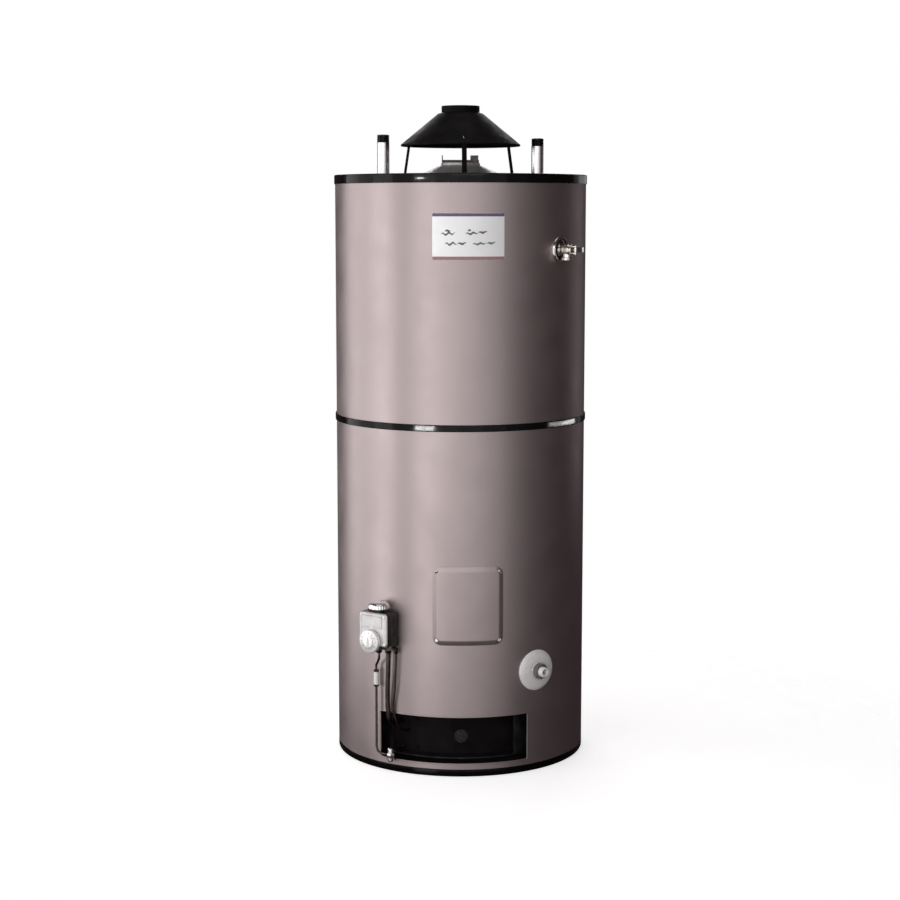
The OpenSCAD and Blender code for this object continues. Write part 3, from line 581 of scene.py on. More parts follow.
def burner_steel():
    f = Finish("burner_steel", (0.08, 0.07, 0.065), 0.35, 1)
    tint = f.ramp(f.noise(22, 3), (0.25, (0.045, 0.038, 0.036)), (0.5, (0.1, 0.085, 0.078)),
        (0.75, (0.06, 0.058, 0.07)))
    f.color(f.blend(f.levels(f.noise(180, 4), 0.55, 0.75, 0, 0.5), tint, (0.05, 0.03, 0.022)))
    f.roughness(f.noise(90, 4), 0.24, 0.45)
    f.bump(f.noise(1100, 3), 0.00003)
    return f.material


def printed(name, color):
    f = Finish(name, color, 0.4)
    lighter = tuple(min(1, c * 1.4 + 0.02) for c in color)
    f.color(f.ramp(f.noise(240, 3), (0.35, color), (0.75, lighter)))
    f.roughness(f.noise(500, 2), 0.34, 0.46)
    f.bump(f.noise(1800, 1), 0.000005)
    return f.material


FINISHES = {
    "jacket_paint": jacket_paint(),
    "black_enamel": black_enamel(),
    "black_satin": black_satin(),
    "foam": foam(),
    "tank_steel": metal("tank_steel", (0.05, 0.05, 0.06), (0.13, 0.13, 0.15), (0.4, 0.6), 600, 0.00008),
    "flue_steel": metal("flue_steel", (0.35, 0.33, 0.31), (0.55, 0.54, 0.53), (0.3, 0.5)),
    "galvanised": galvanised(),
    "zinc_plate": zinc_plate(),
    "brass": metal("brass", (0.55, 0.36, 0.12), (0.82, 0.6, 0.26), (0.2, 0.4)),
    "nickel_brass": metal("nickel_brass", (0.62, 0.58, 0.52), (0.86, 0.83, 0.78), (0.12, 0.3), 500, 0.00004),
    "cast_aluminium": metal("cast_aluminium", (0.68, 0.67, 0.67), (0.84, 0.83, 0.83), (0.28, 0.42), 420,
                            0.0001, 35, 0.95),
    "label": metal("label", (0.93, 0.93, 0.94), (0.98, 0.98, 0.98), (0.3, 0.44), 2200, 0.000004, 18, 0.34),
    "anode_metal": metal("anode_metal", (0.38, 0.38, 0.37), (0.62, 0.61, 0.6), (0.45, 0.65), 300, 0.0001),
    "white_plastic": plastic("white_plastic", (0.88, 0.86, 0.85), (0.96, 0.95, 0.94), (0.2, 0.36)),
    "grey_plastic": plastic("grey_plastic", (0.74, 0.73, 0.72), (0.88, 0.87, 0.86), (0.18, 0.32)),
    "red_plastic": plastic("red_plastic", (0.36, 0.012, 0.01), (0.55, 0.03, 0.02), (0.2, 0.35)),
    # Copper darkened to near black as painted shade: the lead follows a dark line beside the burner tube that is
    # partly that tube's shadow.
    "copper": metal("copper", (0.045, 0.028, 0.022), (0.11, 0.065, 0.05), (0.25, 0.45)),
    "burner_steel": burner_steel(),
    "rubber": plastic("rubber", (0.012, 0.012, 0.012), (0.035, 0.034, 0.033), (0.6, 0.85), 500, 0.00008),
    "glass": glass(),
}
CHROME = chrome_ring()
COLLAR_STEEL = metal("collar_steel", (0.5, 0.48, 0.48), (0.64, 0.61, 0.61), (0.26, 0.4), 900, 0.00001, 35,
    0.4)
KNOB_PLATE = metal("knob_plate", (0.82, 0.81, 0.81), (0.95, 0.94, 0.94), (0.14, 0.26))
# Brass darkened to near black, much darker than the brass finish, for the tube nuts and the filter's end fittings.
NEAR_BLACK_BRASS = metal("near_black_brass", (0.022, 0.017, 0.013), (0.07, 0.052, 0.036), (0.25, 0.42))
# Grey plastic darkened as painted shade: the drain knob's dark sides and underside.
PAINTED_SHADE_PLASTIC = plastic("painted_shade_plastic", (0.13, 0.12, 0.12), (0.2, 0.19, 0.185), (0.25, 0.4))
# Cast aluminium darkened to near black: painted shade on the gas control's body and on the sides of its cover,
# whose front face keeps a lighter colour.
PAINTED_SHADE_CASTING = metal("painted_shade_casting", (0.05, 0.045, 0.045), (0.1, 0.092, 0.09), (0.26, 0.4), 420, 0.0001)
CONTROL_FACE = metal("control_face", (0.57, 0.55, 0.55), (0.68, 0.66, 0.66), (0.28, 0.42), 420, 0.0001,
    35, 0.5)
DIAL_WHITE = metal("dial_white", (0.95, 0.94, 0.93), (0.99, 0.98, 0.98), (0.24, 0.36), 1400, 0.00002, 26,
    0.45)
BLACK_PRINT = printed("black_print", (0.05, 0.05, 0.055))
GREY_PRINT = printed("grey_print", (0.11, 0.115, 0.115))
VIOLET_PRINT = printed("violet_print", (0.12, 0.095, 0.18))
RED_PRINT = printed("red_print", (0.34, 0.17, 0.18))
GREEN_PRINT = printed("green_print", (0.14, 0.2, 0.165))

for part in frame["record"]["subparts"]:
    node = frame["nodes"][part["node"]]
    node.data.materials.clear()
    node.data.materials.append(FINISHES[part["material_slot"]])
frame["nodes"]["flue_baffle"].data.materials[0] = FINISHES["burner_steel"]


# ---------- jacket ----------

def round_cutter(bm, place, radius, low, high):
    stack(bm, discs((radius, low), (radius, high), points=64), place)


def sheet_ring(bm, low, high):
    r = BODY_R
    lathe(bm, rounded([(r - SHEET, low, 0.3), (r, low, 0.5), (r, high, 0.5), (r - SHEET, high, 0.3)], 2),
        steps=JACKET_STEPS)


def lap_seam(low, high):
    """Overlap of the sheet's two ends, as a thin folded strip down the back."""
    half_width, rise = 10.6, 0.7
    outline = rounded([(-half_width, -1, 0), (half_width, -1, 0), (half_width, rise, 0.5),
        (-half_width, rise, 0.5)], 3)
    strip = skinned([(outline, low + 0.6), (outline, high - 0.6)], SWAP_YZ)
    wrap(strip, BACK_AZ, 0)
    return strip


def merge(bm, other):
    """Adds another drawn shape to bm."""
    mesh = bpy.data.meshes.new("merge")
    other.to_mesh(mesh)
    other.free()
    bm.from_mesh(mesh)
    bpy.data.meshes.remove(mesh)


def make_jackets():
    bm, holes = bmesh.new(), bmesh.new()
    sheet_ring(bm, JACKET_Z[0], JACKET_Z[1])
    stack(holes, panels(OPENING_W, OPENING_H, 6, (0, -140), (0, 8)), on_jacket(OPENING_AZ, OPENING_MID))
    stack(holes, panels(150, 170, 12, (0, -40), (0, 6)), on_jacket(0, PANEL_Z))
    round_cutter(holes, GAS, 22, -40, 6)
    round_cutter(holes, DRAIN, 20, -40, 6)
    piece("jacket_lower_skin", bm, "jacket_paint", "jacket_lower", holes=holes, on_cylinder=True)
    bm, holes = bmesh.new(), bmesh.new()
    sheet_ring(bm, JACKET_Z[2], JACKET_Z[3])
    round_cutter(holes, RELIEF, 27, -40, 6)
    piece("jacket_upper_skin", bm, "jacket_paint", "jacket_upper", holes=holes, on_cylinder=True)
    for name, low, high in (("lower", JACKET_Z[0], JACKET_Z[1]), ("upper", JACKET_Z[2], JACKET_Z[3])):
        piece("jacket_seam_" + name, lap_seam(low, high), "jacket_paint")


def make_opening_hem():
    """Rolled edge of the sheet round the combustion opening."""
    bm = bmesh.new()
    loops = panels(OPENING_W, OPENING_H, 6, (2.4, -1.8), (2.4, 0.7), (1.6, 1.2), (-0.4, 1.2), (-1.2, 0.7),
        (-1.2, 0.1), (0.1, 0.05), (0.1, -1.8))
    rings = [[bm.verts.new((BODY_R * math.asin(x / BODY_R), y, z)) for x, y in outline]
             for outline, z in loops]
    for a, b in zip(rings, rings[1:] + rings[:1]):
        bridge(bm, a, b)
    wrap(bm, OPENING_AZ, OPENING_MID)
    piece("opening_hem", bm, "jacket_paint")


def make_band():
    inner, outer = BODY_R + 0.9, BAND_HIGH.x
    low, high = BAND_LOW.z, BAND_HIGH.z
    middle = (low + high) / 2
    bm = turned(rounded([(inner, low, 0.4), (outer - 0.5, low, 0.8), (outer, low + 2, 1),
        (outer, high - 2, 1), (outer - 0.5, high, 0.8), (inner, high, 0.4), (inner, middle + 1, 0),
        (BODY_R - 1.3, middle + 1, 0), (BODY_R - 1.3, middle - 1, 0), (inner, middle - 1, 0)]),
        steps=JACKET_STEPS)
    piece("jacket_band_trim", bm, "black_enamel", "jacket_band")


def make_base_ring():
    r, top = BODY_R, JACKET_Z[0]
    bm = turned(rounded([(298, 0, 0.5), (r - 1.5, 0, 1.5), (r, 3, 3), (r, top - 1.5, 1.2),
        (r - 1, top, 0.6), (298, top, 0.5), (298, top - 3, 0.5), (r - 4, top - 3, 2), (r - 4, 3, 2),
        (298, 3, 0.5)], 4), steps=JACKET_STEPS)
    piece("base_ring_trim", bm, "black_enamel", "base_ring")


def make_top_cover():
    holes = bmesh.new()
    rim_in, rim_out = BODY_R + 1, COVER_HIGH.x
    low, high, deck = COVER_LOW.z, COVER_HIGH.z, DECK_Z
    bm = turned(rounded([(54, deck - 1.5, 0.3), (rim_in, deck - 1.5, 0.5), (rim_in, low, 0.3),
        (rim_out, low, 0.5), (rim_out, high, 2.6), (rim_in - 5, high, 2), (rim_in - 8, deck, 2),
        (250, deck, 4), (246, deck + 1.2, 3), (150, deck + 1.2, 3), (146, deck, 4), (54, deck, 0.3)]),
        steps=JACKET_STEPS)
    for s in (-1, 1):
        round_cutter(holes, move(s * NIPPLE_X, 0, deck), NIPPLE_R + 2.5, -9, 9)
    round_cutter(holes, move(0, 190, deck), 22, -9, 9)
    piece("top_cover_skin", bm, "black_enamel", "top_cover", holes=holes)
    for s, name in ((-1, "hot"), (1, "cold")):
        bm = turned(rounded([(NIPPLE_R - 0.2, deck + 0.1, 0.3), (NIPPLE_R + 8, deck + 0.1, 0.6),
            (NIPPLE_R + 6, deck + 2.6, 1.4), (NIPPLE_R + 0.6, deck + 3.6, 0.8),
            (NIPPLE_R - 0.2, deck + 3.2, 0.3)], 3), move(s * NIPPLE_X, 0, 0), steps=72)
        piece("nipple_seal_" + name, bm, "rubber")


# ---------- nipples ----------

def make_nipple(name, side):
    low, high = box_mm(name)
    place = move(side * NIPPLE_X, 0, 0)
    shank, bore, pitch = NIPPLE_R - 0.35, 13.3, 2.21
    start = high.z - 21
    bm = turned([(bore, low.z), (shank, low.z), (shank, start), (shank - 0.8, start + 0.6),
        (bore, start + 0.6)], place, 72)
    piece(name + "_shank", bm, "galvanised", name)
    profile = [(bore, start - 2), (shank - 1.4, start - 2), (shank - 1.4, start)]
    profile += threads(NIPPLE_R + 0.05, start + 0.4, high.z - 1.2, pitch, 1.3)
    profile += [(NIPPLE_R - 1.6, high.z), (bore + 0.5, high.z), (bore, high.z - 0.8)]
    bm = turned(profile, place, 72, pitch)
    piece(name + "_thread", bm, "galvanised", look=FINISHES["burner_steel"], angle=50)


# ---------- flue collar, hood and legs ----------

def make_flue_collar():
    low, high = box_mm("flue_collar")
    z0, z1, foot = low.z, high.z, high.x
    bm = turned(rounded([(50.3, z1 - 1.5, 0.2), (50.3, z1, 0.3), (52.2, z1, 0.6), (52.2, z1 - 6, 2),
        (foot - 9, z0 + 2.6, 5), (foot - 1.2, z0 + 1.6, 0.8), (foot, z0, 0.5), (foot - 9, z0, 3),
        (50.3, z1 - 8, 2)]), steps=160)
    piece("flue_collar_skin", bm, "flue_steel", "flue_collar", look=COLLAR_STEEL)


CONE_SHOULDER = 59
COLLAR_TALL = 20


def make_hood():
    rim, z0, top = HOOD_HIGH.x, HOOD_LOW.z, HOOD_HIGH.z
    cone_top, shoulder, vent = top - COLLAR_TALL, CONE_SHOULDER, 50.8
    profile = rounded([(rim - 1, z0 + 0.4, 0.2), (rim - 0.2, z0, 0.6), (rim, z0 + 4, 1.2),
        (shoulder + 1, cone_top, 2.5), (vent, cone_top + 2.2, 2), (vent, cone_top + 9, 0.6),
        (vent + 0.9, cone_top + 10.2, 0.8), (vent, cone_top + 11.4, 0.6), (vent, top, 0.4),
        (vent - 1, top, 0.2), (vent - 1, cone_top + 1.4, 1), (shoulder, cone_top - 1.2, 1),
        (rim - 1.4, z0 + 3.4, 0.5)])
    bm = turned(profile)
    piece("draft_hood_skin", bm, "black_satin", "draft_hood")
    bead = turned([(rim - 0.9 + 1.3 * math.cos(a), z0 + 1 + 1.3 * math.sin(a)) for a in turns(12)])
    piece("draft_hood_bead", bead, "black_satin")
    run, rise = rim - shoulder, cone_top - z0 - 4
    length = math.hypot(run, rise)
    tilt = turn(180, "Z") @ move(0, -rim + 0.2, z0 + 4) @ turn(math.degrees(math.atan2(rise, run)), "X")
    outline = rounded([(-5, 0, 0.3), (5, 0, 0.3), (4.5, 1.5, 0.7), (-4.5, 1.5, 0.7)], 3)
    seam = skinned([(outline, 3), (outline, length - 4)], tilt @ SWAP_YZ)
    piece("draft_hood_seam", seam, "black_satin")


LEGS = {"hood_leg_front": 0, "hood_leg_right": 120, "hood_leg_left": -120}


def make_leg(name, azimuth):
    """Bent strip: a foot on the deck, an upright, and a tab under the cone."""
    rim, z0 = HOOD_HIGH.x, HOOD_LOW.z
    slope = (HOOD_HIGH.z - COLLAR_TALL - z0 - 4) / (rim - CONE_SHOULDER)
    foot = box_mm("hood_leg_front")[0].y * -1
    deck = DECK_Z
    tab = [rim - 2, z0 + 1.2], [rim - 26, z0 + 1.2 + 24 * slope]
    side = rounded([(foot, deck, 0.3), (foot, deck + 1.5, 0.5), (171, deck + 1.5, 3),
        (rim - 1.6, z0 - 4, 3), (tab[0][0], tab[0][1] + 1, 2), (tab[1][0], tab[1][1], 0.5),
        (tab[1][0], tab[1][1] - 1.8, 0.5), (tab[0][0] - 1.8, tab[0][1] - 0.6, 2), (rim - 3.2, z0 - 4, 3),
        (169.5, deck, 3)])
    place = turn(azimuth, "Z") @ Matrix(((0, 0, 1, 0), (-1, 0, 0, 0), (0, 1, 0, 0), (0, 0, 0, 1)))
    half = 6.5
    bm = skinned([(side, -half), (side, half)], place)
    piece(name + "_strip", bm, "black_satin", name, bevel=0.35)


# ---------- label ----------

def flat_print(name, outline, ink):
    """A printed shape, as a thin layer on the label."""
    bm = skinned([(outline, 0.85), (outline, 1)])
    wrap(bm, 0, LABEL_Z)
    piece(name, bm, "label", look=ink)


def ribbon(x0, x1, y, swing):
    """Wavy pen stroke between x0 and x1, thicker in the middle."""
    half, lean = 2.3, 0.07
    count = max(8, int((x1 - x0) / 1.5))
    upper, lower = [], []
    for k in range(count + 1):
        x = x0 + (x1 - x0) * k / count
        middle = y + lean * (x - x0) + swing * math.sin((x - x0) / 2.6)
        edge = half * (0.25 + math.sin(math.pi * k / count))
        upper.append((x, middle + edge))
        lower.append((x, middle - edge))
    return lower + upper[::-1]


# Unreadable strokes on the label: start, end and height in millimetres, swing, ink.
LABEL_STROKES = [(-70, -34, 6, 2.4, GREY_PRINT), (-60, -46, 14, 1, GREY_PRINT),
                 (-8, 24, 7, 1.8, GREY_PRINT), (24, 47, 10, 1.2, GREY_PRINT), (-2, 6, 15, 0.6, GREY_PRINT),
                 (-60, -30, -19, 2.6, GREY_PRINT), (-28, -6, -18, 1.6, GREY_PRINT),
                 (10, 44, -19, 1.5, GREEN_PRINT), (46, 68, -17, 1.2, GREEN_PRINT)]


def make_label():
    low, high = box_mm("label_plate")
    height = high.z - low.z
    half = math.asin(high.x / (BODY_R + 0.9)) * BODY_R
    width = 2 * half
    bm = skinned(panels(width, height, 8, (0, 0.15), (0, 0.6), (0.35, 0.9)))
    wrap(bm, 0, LABEL_Z)
    piece("label_plate_sheet", bm, "label", "label_plate")
    w, h = width / 2, height / 2
    flat_print("label_top_line", rounded([(-w + 0.5, h - 8.5, 0.6), (w - 0.5, h - 8.5, 0.6),
        (w - 0.5, h - 0.5, 7.4), (-w + 0.5, h - 0.5, 7.4)], 6), VIOLET_PRINT)
    flat_print("label_bottom_line", rounded([(-w + 0.5, -h + 0.5, 7.4), (w - 0.5, -h + 0.5, 7.4),
        (w - 0.5, -h + 9, 0.6), (-w + 0.5, -h + 9, 0.6)], 6), RED_PRINT)
    for k, (x0, x1, y, swing, ink) in enumerate(LABEL_STROKES):
        flat_print(f"label_stroke_{k}", ribbon(x0, x1, y, swing), ink)


# ---------- cleanout panel ----------

def make_panel():
    low, high = box_mm("cleanout_cover")
    width, height, r = 185, high.z - low.z, 22
    bm = skinned(panels(width, height, r, (0.2, 0.2), (0, 0.5), (0.3, 1), (1.2, 1.3), (11, 4.6),
        (12.5, 4.9), (15, 4.9)))
    wrap(bm, 0, PANEL_Z)
    piece("cleanout_panel", bm, "jacket_paint", "cleanout_cover")


# ---------- screws ----------

def islands(node):
    """Separate solids of a CAD node, each as its list of points in millimetres."""
    bm = bmesh.new()
    bm.from_mesh(frame["nodes"][node].data)
    bmesh.ops.remove_doubles(bm, verts=bm.verts[:], dist=1e-6)
    left, groups = set(bm.verts), []
    for start in bm.verts:
        if start not in left:
            continue
        left.remove(start)
        group, edge = [start], [start]
        while edge:
            vert = edge.pop()
            for link in vert.link_edges:
                other = link.other_vert(vert)
                if other in left:
                    left.remove(other)
                    group.append(other)
                    edge.append(other)
        groups.append([v.co / MM for v in group])
    bm.free()
    return groups


def screw_frame(points):
    """Seat of a screw whose points are given: +Z runs from the tip to the head."""
    tip, far = None, -1
    middle = sum(points, Vector()) / len(points)
    for p in points:
        if (p - middle).length > far:
            tip, far = p, (p - middle).length
    axis = (middle - tip).normalized()
    for _ in range(3):
        depth = [(p - tip).dot(axis) for p in points]
        ends = min(depth), max(depth)
        low = [p for p, d in zip(points, depth) if d < ends[0] + 0.5]
        high = [p for p, d in zip(points, depth) if d > ends[1] - 0.5]
        tip = sum(low, Vector()) / len(low)
        axis = (sum(high, Vector()) / len(high) - tip).normalized()
    head = sum(high, Vector()) / len(high)
    place = axis.to_track_quat("Z", "Y").to_matrix().to_4x4()
    place.translation = head - axis * 4.1
    return place


def make_screws():
    plated, shaded_in_opening = bmesh.new(), bmesh.new()
    for points in islands("sheet_metal_screws"):
        seat = screw_frame(points)
        # Screws on the inner door sit in the dark opening and get black satin instead of zinc: painted shade.
        on_door = seat.translation.xy.length < BODY_R - 20 and seat.translation.z < OPENING_Z[1]
        screw_head(shaded_in_opening if on_door else plated, seat)
    piece("sheet_metal_screws_hex", plated, "zinc_plate", "sheet_metal_screws", angle=25)
    piece("door_screws_hex", shaded_in_opening, "zinc_plate", look=FINISHES["black_satin"], angle=25)


# ---------- gas control ----------

def make_gas_control():
    cock_seat = GAS @ move(0, 46, 30) @ TURN_UP
    button_seat = GAS @ move(-35.5, 46, 22) @ TURN_UP
    cover_place, dial_foot = GAS @ move(0, 6, 0), GAS @ move(DIAL_X, DIAL_Y, 0)
    body = skinned([(panel(80, 90, 9), 8), (panel(84, 94, 9), 10), (panel(84, 94, 9), 33),
        (panel(91, 99, 9), 34.5), (panel(92, 100, 9), 35.5), (panel(92, 100, 9), 38)], GAS)
    stack(body, discs((18, -2), (17, 0), (17, 6.4), (16, 7.2)), cock_seat)
    stack(body, discs((7.2, -2), (7.2, 3.4), (6.6, 4)), button_seat)
    for y in (-30, -10, 10, 30):
        stack(body, panels(87, 3, 1, (0, 12), (0, 33.5)), GAS @ move(0, y, 0))
    side = GAS @ move(-40, 0, 23) @ turn(-90, "Y")
    boss = turned(rounded([(9.6, -1, 0), (14, -1, 0), (14, 12, 1.2), (11, 12, 0.5), (9.6, 10.6, 0)], 3),
        side, 64)
    merge(body, boss)
    holes = bmesh.new()
    round_cutter(holes, side, 9.6, -8, 14)
    round_cutter(holes, cock_seat, 5.2, -20, 20)
    round_cutter(holes, button_seat, 4.7, -20, 20)
    # The body casting takes the near-black finish: painted shade on its sides.
    piece("gas_body_casting", body, "cast_aluminium", "gas_body", look=PAINTED_SHADE_CASTING, holes=holes,
        solid_parts=8)

    # The cover's sides take the same near-black finish as painted shade; its face, drawn next, stays lighter.
    cover = skinned(panels(92, 88, 9, (0, 38.2), (0, 54.2), (1.4, 54.2), (1.4, 54.8)), cover_place)
    holes = bmesh.new()
    round_cutter(holes, dial_foot, 5.4, 30, 60)
    round_cutter(holes, GAS @ move(0, 42, 30) @ TURN_UP, 18.4, 0, 20)
    piece("gas_cover_casting", cover, "cast_aluminium", "gas_cover", look=PAINTED_SHADE_CASTING, holes=holes)
    face = skinned(panels(92, 88, 9, (0.2, 54.3), (0.5, 55), (3.2, 57), (8, 57), (9, 56.2), (12, 56.2)),
        cover_place)
    holes = bmesh.new()
    round_cutter(holes, dial_foot, 5.4, 30, 60)
    piece("gas_cover_face", face, "cast_aluminium", look=CONTROL_FACE, holes=holes)
    plate = skinned(panels(62, 30, 3, (0, 56.3), (0, 57.2), (0.5, 57.6)), GAS @ move(-2, 25, 0))
    piece("gas_cover_plate", plate, "cast_aluminium", look=CONTROL_FACE)
    screws = bmesh.new()
    for x, y in ((-37, 41), (37, 41), (38, -30)):
        stack(screws, discs((3.4, 55), (3.4, 57.6), (2.8, 58.4), (1.7, 58.5), (1.5, 57.4), points=32),
            GAS @ move(x, y, 0))
    piece("gas_cover_screws", screws, "zinc_plate")

    # Rubber pad between the body and the jacket; it is also there as painted shade, a dark strip where the
    # control's shadow falls on the jacket.
    pad = skinned(panels(78, 90, 7, (0, -4), (0, 7.2), (0.8, 7.95)), GAS)
    piece("gas_mount_pad", pad, "rubber")

    knob = skinned(grooved(24, 192, (27.5, 1.1, 7.8), (27.5, 1.1, 14), (26.6, 0.6, 16.5), (24.5, 0, 19.5),
        (20, 0, 22), (13, 0, 23.6), (6, 0, 24.1)), COCK_AXIS)
    stack(knob, discs((5, -16), (5, 8.5)), COCK_AXIS)
    piece("gas_cock_knob_grip", knob, "grey_plastic", "gas_cock_knob", "gas_cock_knob", look=KNOB_PLATE)
    mark = skinned(panels(2.4, 15, 1, (0, 22), (0, 24.3)), COCK_AXIS @ move(0, 11, 0) @ turn(-8, "X"))
    piece("gas_cock_mark", mark, "grey_plastic", body="gas_cock_knob", look=BLACK_PRINT)

    dial_place = GAS @ move(DIAL_X, DIAL_Y, 57)
    dial = skinned(grooved(30, 240, (30, 0, 0.5), (31, 0.9, 1.2), (31, 0.9, 8), (29.4, 0, 10.4),
        (27, 0, 11.2), (18, 0, 11.4), (16.6, 0, 12), (15.5, 0, 14.1), (13, 0, 14.5)), dial_place)
    stack(dial, discs((5, -16), (5, 1)), dial_place)
    piece("temperature_dial_face", dial, "white_plastic", "temperature_dial", "temperature_dial",
        look=DIAL_WHITE)
    ticks = bmesh.new()
    for k in range(-4, 5):
        length = 5.5 if k % 2 == 0 else 3.5
        stack(ticks, panels(1.1, length, 0.4, (0, 10.6), (0, 11.6)), dial_place @ turn(k * 30, "Z")
            @ move(0, 22.4, 0))
    piece("temperature_dial_ticks", ticks, "grey_plastic", body="temperature_dial", look=BLACK_PRINT)
    pointer = skinned(panels(5.4, 25, 2.4, (0, 14.2), (0, 15), (0.6, 15.5)), dial_place)
    piece("temperature_dial_bar", pointer, "grey_plastic", body="temperature_dial")

    button = turned(rounded([(0, -9, 0), (4.5, -9, 0.3), (4.5, 11, 1.4), (0, 12, 0)]), BUTTON_AXIS, 40)
    piece("pilot_button_cap", button, "red_plastic", "pilot_button", "pilot_button")


# ---------- relief valve ----------

def make_relief_valve():
    ring = turned(rounded([(27.2, -2.5, 0.4), (34.3, -1.2, 0.4), (34.3, 2.6, 2.4), (31, 5.8, 2.2),
        (28.6, 5.6, 1.2), (27.2, 3.6, 1)]), RELIEF, 96)
    piece("relief_escutcheon_ring", ring, "white_plastic", "relief_escutcheon", look=CHROME)

    grommet = turned(rounded([(13.5, -9, 0.5), (26.6, -9, 0.5), (26.6, -4.5, 1.5), (20, -3.6, 3),
        (18.4, -3, 0.5), (13.5, -3, 0.5)], 3), RELIEF, 72)
    piece("relief_grommet", grommet, "rubber")

    body = turned(rounded([(0, -60, 0), (12.6, -60, 0.5), (13.3, -20, 0), (13.3, -7, 0.3), (11.5, 3, 1),
        (12.4, 6, 2), (15.5, 11, 3), (15.5, 31, 3), (13, 34, 1), (13, 36, 0.5), (11, 40, 2),
        (4.2, 40.6, 0.3), (4.2, 36, 0), (0, 36, 0)], 3), RELIEF, 72)
    hex_nut(body, RELIEF, 18, -6.5, 3.2)
    piece("relief_body_casting", body, "nickel_brass", "relief_body")
    outlet = turned(rounded([(12.1, 12, 0), (12.1, 27, 0.3), (15.2, 27, 0.8), (15.2, 20, 0.8),
        (13.9, 18.5, 0.8), (13.2, 10, 1), (9, 9, 1), (9, 12, 0)], 3), RELIEF @ move(0, 0, 21) @ TURN_DOWN,
        72)
    piece("relief_outlet_socket", outlet, "nickel_brass")
    ears = bmesh.new()
    for s in (-1, 1):
        for_ear = RELIEF @ move(-9, s * 8.5, 0) @ TURN_DOWN
        outline = rounded([(-4.5, 38, 0.5), (5.5, 38, 0.5), (4.5, 55, 4.4), (4.5, 59.5, 4.4),
            (-4.5, 59.5, 4.4), (-4.5, 50, 2)], 5)
        stack(ears, [(outline, -1.5), (outline, 1.5)], for_ear)
    piece("relief_ears", ears, "nickel_brass", bevel=0.3)

    outline = rounded([(-4.5, -1.2, 1), (22, -1.2, 3), (27, 0.4, 3), (29.6, 4.8, 1), (27.8, 5.6, 0.5),
        (25.6, 2.6, 3), (21, 1.2, 3), (-4.5, 1.2, 1)])
    place = RELIEF @ move(-9, 0, 55) @ TURN_DOWN
    lever = skinned([([(x, y * 0.9) for x, y in outline], -6.3), (outline, -5.9), (outline, 5.9),
        ([(x, y * 0.9) for x, y in outline], 6.3)], place)
    sleeve = turned(rounded([(2.06, -6.3, 0.1), (4.2, -6.3, 0.6), (4.2, 6.3, 0.6), (2.06, 6.3, 0.1)], 2),
        place, 40)
    merge(lever, sleeve)
    piece("relief_lever_strip", lever, "zinc_plate", "relief_lever", "relief_lever")


# ---------- drain valve ----------

def make_drain_valve():
    disc = turned(rounded([(14.2, -1, 0.2), (52.5, -6.2, 0.6), (54.3, -5.8, 1.2), (54, 0.8, 3),
        (46, 5.4, 14), (34, 8.2, 14), (24, 8.4, 3), (21.2, 6.9, 0.8), (14.2, 6.9, 0.4)], 5), DRAIN, 144)
    piece("drain_escutcheon_disc", disc, "white_plastic", "drain_escutcheon")
    pitch = 2.2
    profile = [(8, 18), (12.9, 18), (12.9, 23.8), (11.9, 24.4), (11.9, 25)]
    profile += threads(13.35, 25.2, 36, pitch, 1.5)
    profile += [(11.8, 36.8), (11.6, 38), (8.6, 38), (8, 37.2)]
    stub = turned(profile, DRAIN, 96, pitch)
    piece("drain_stub", stub, "white_plastic", angle=50)
    body = turned(rounded([(5, -60, 0), (13.3, -60, 0.5), (13.3, 7.2, 0), (20, 7.2, 0.5), (20, 9.1, 0.8),
        (12.9, 9.3, 0.3), (12.9, 19, 0), (8, 19, 0), (8, 14, 0), (5, 14, 0)], 3), DRAIN, 96)
    piece("drain_body_shank", body, "white_plastic", "drain_body")
    knob = bmesh.new()
    stack_ring(knob, grooved(12, 168, (19.6, 0.4, 9.8), (21, 2.2, 11.2), (21, 2.2, 21.6),
        (19, 0.4, 23.2)), 13.15, DRAIN)
    # The drain knob takes the darkened plastic: painted shade on its sides.
    piece("drain_knob_grip", knob, "grey_plastic", "drain_knob", "drain_knob", look=PAINTED_SHADE_PLASTIC)


def stack_ring(bm, sections, bore, place):
    """Like stack(), but with a round bore right through."""
    inner = circle(bore, len(sections[0][0]))
    loops = [(inner, sections[0][1])] + sections + [(inner, sections[-1][1])]
    rings = [[bm.verts.new(place @ Vector((x, y, z))) for x, y in outline] for outline, z in loops]
    for a, b in zip(rings, rings[1:] + rings[:1]):
        bridge(bm, a, b)


# ---------- tubes ----------

TUBE_TOP = GAS_Z - GAS_TOP - 14


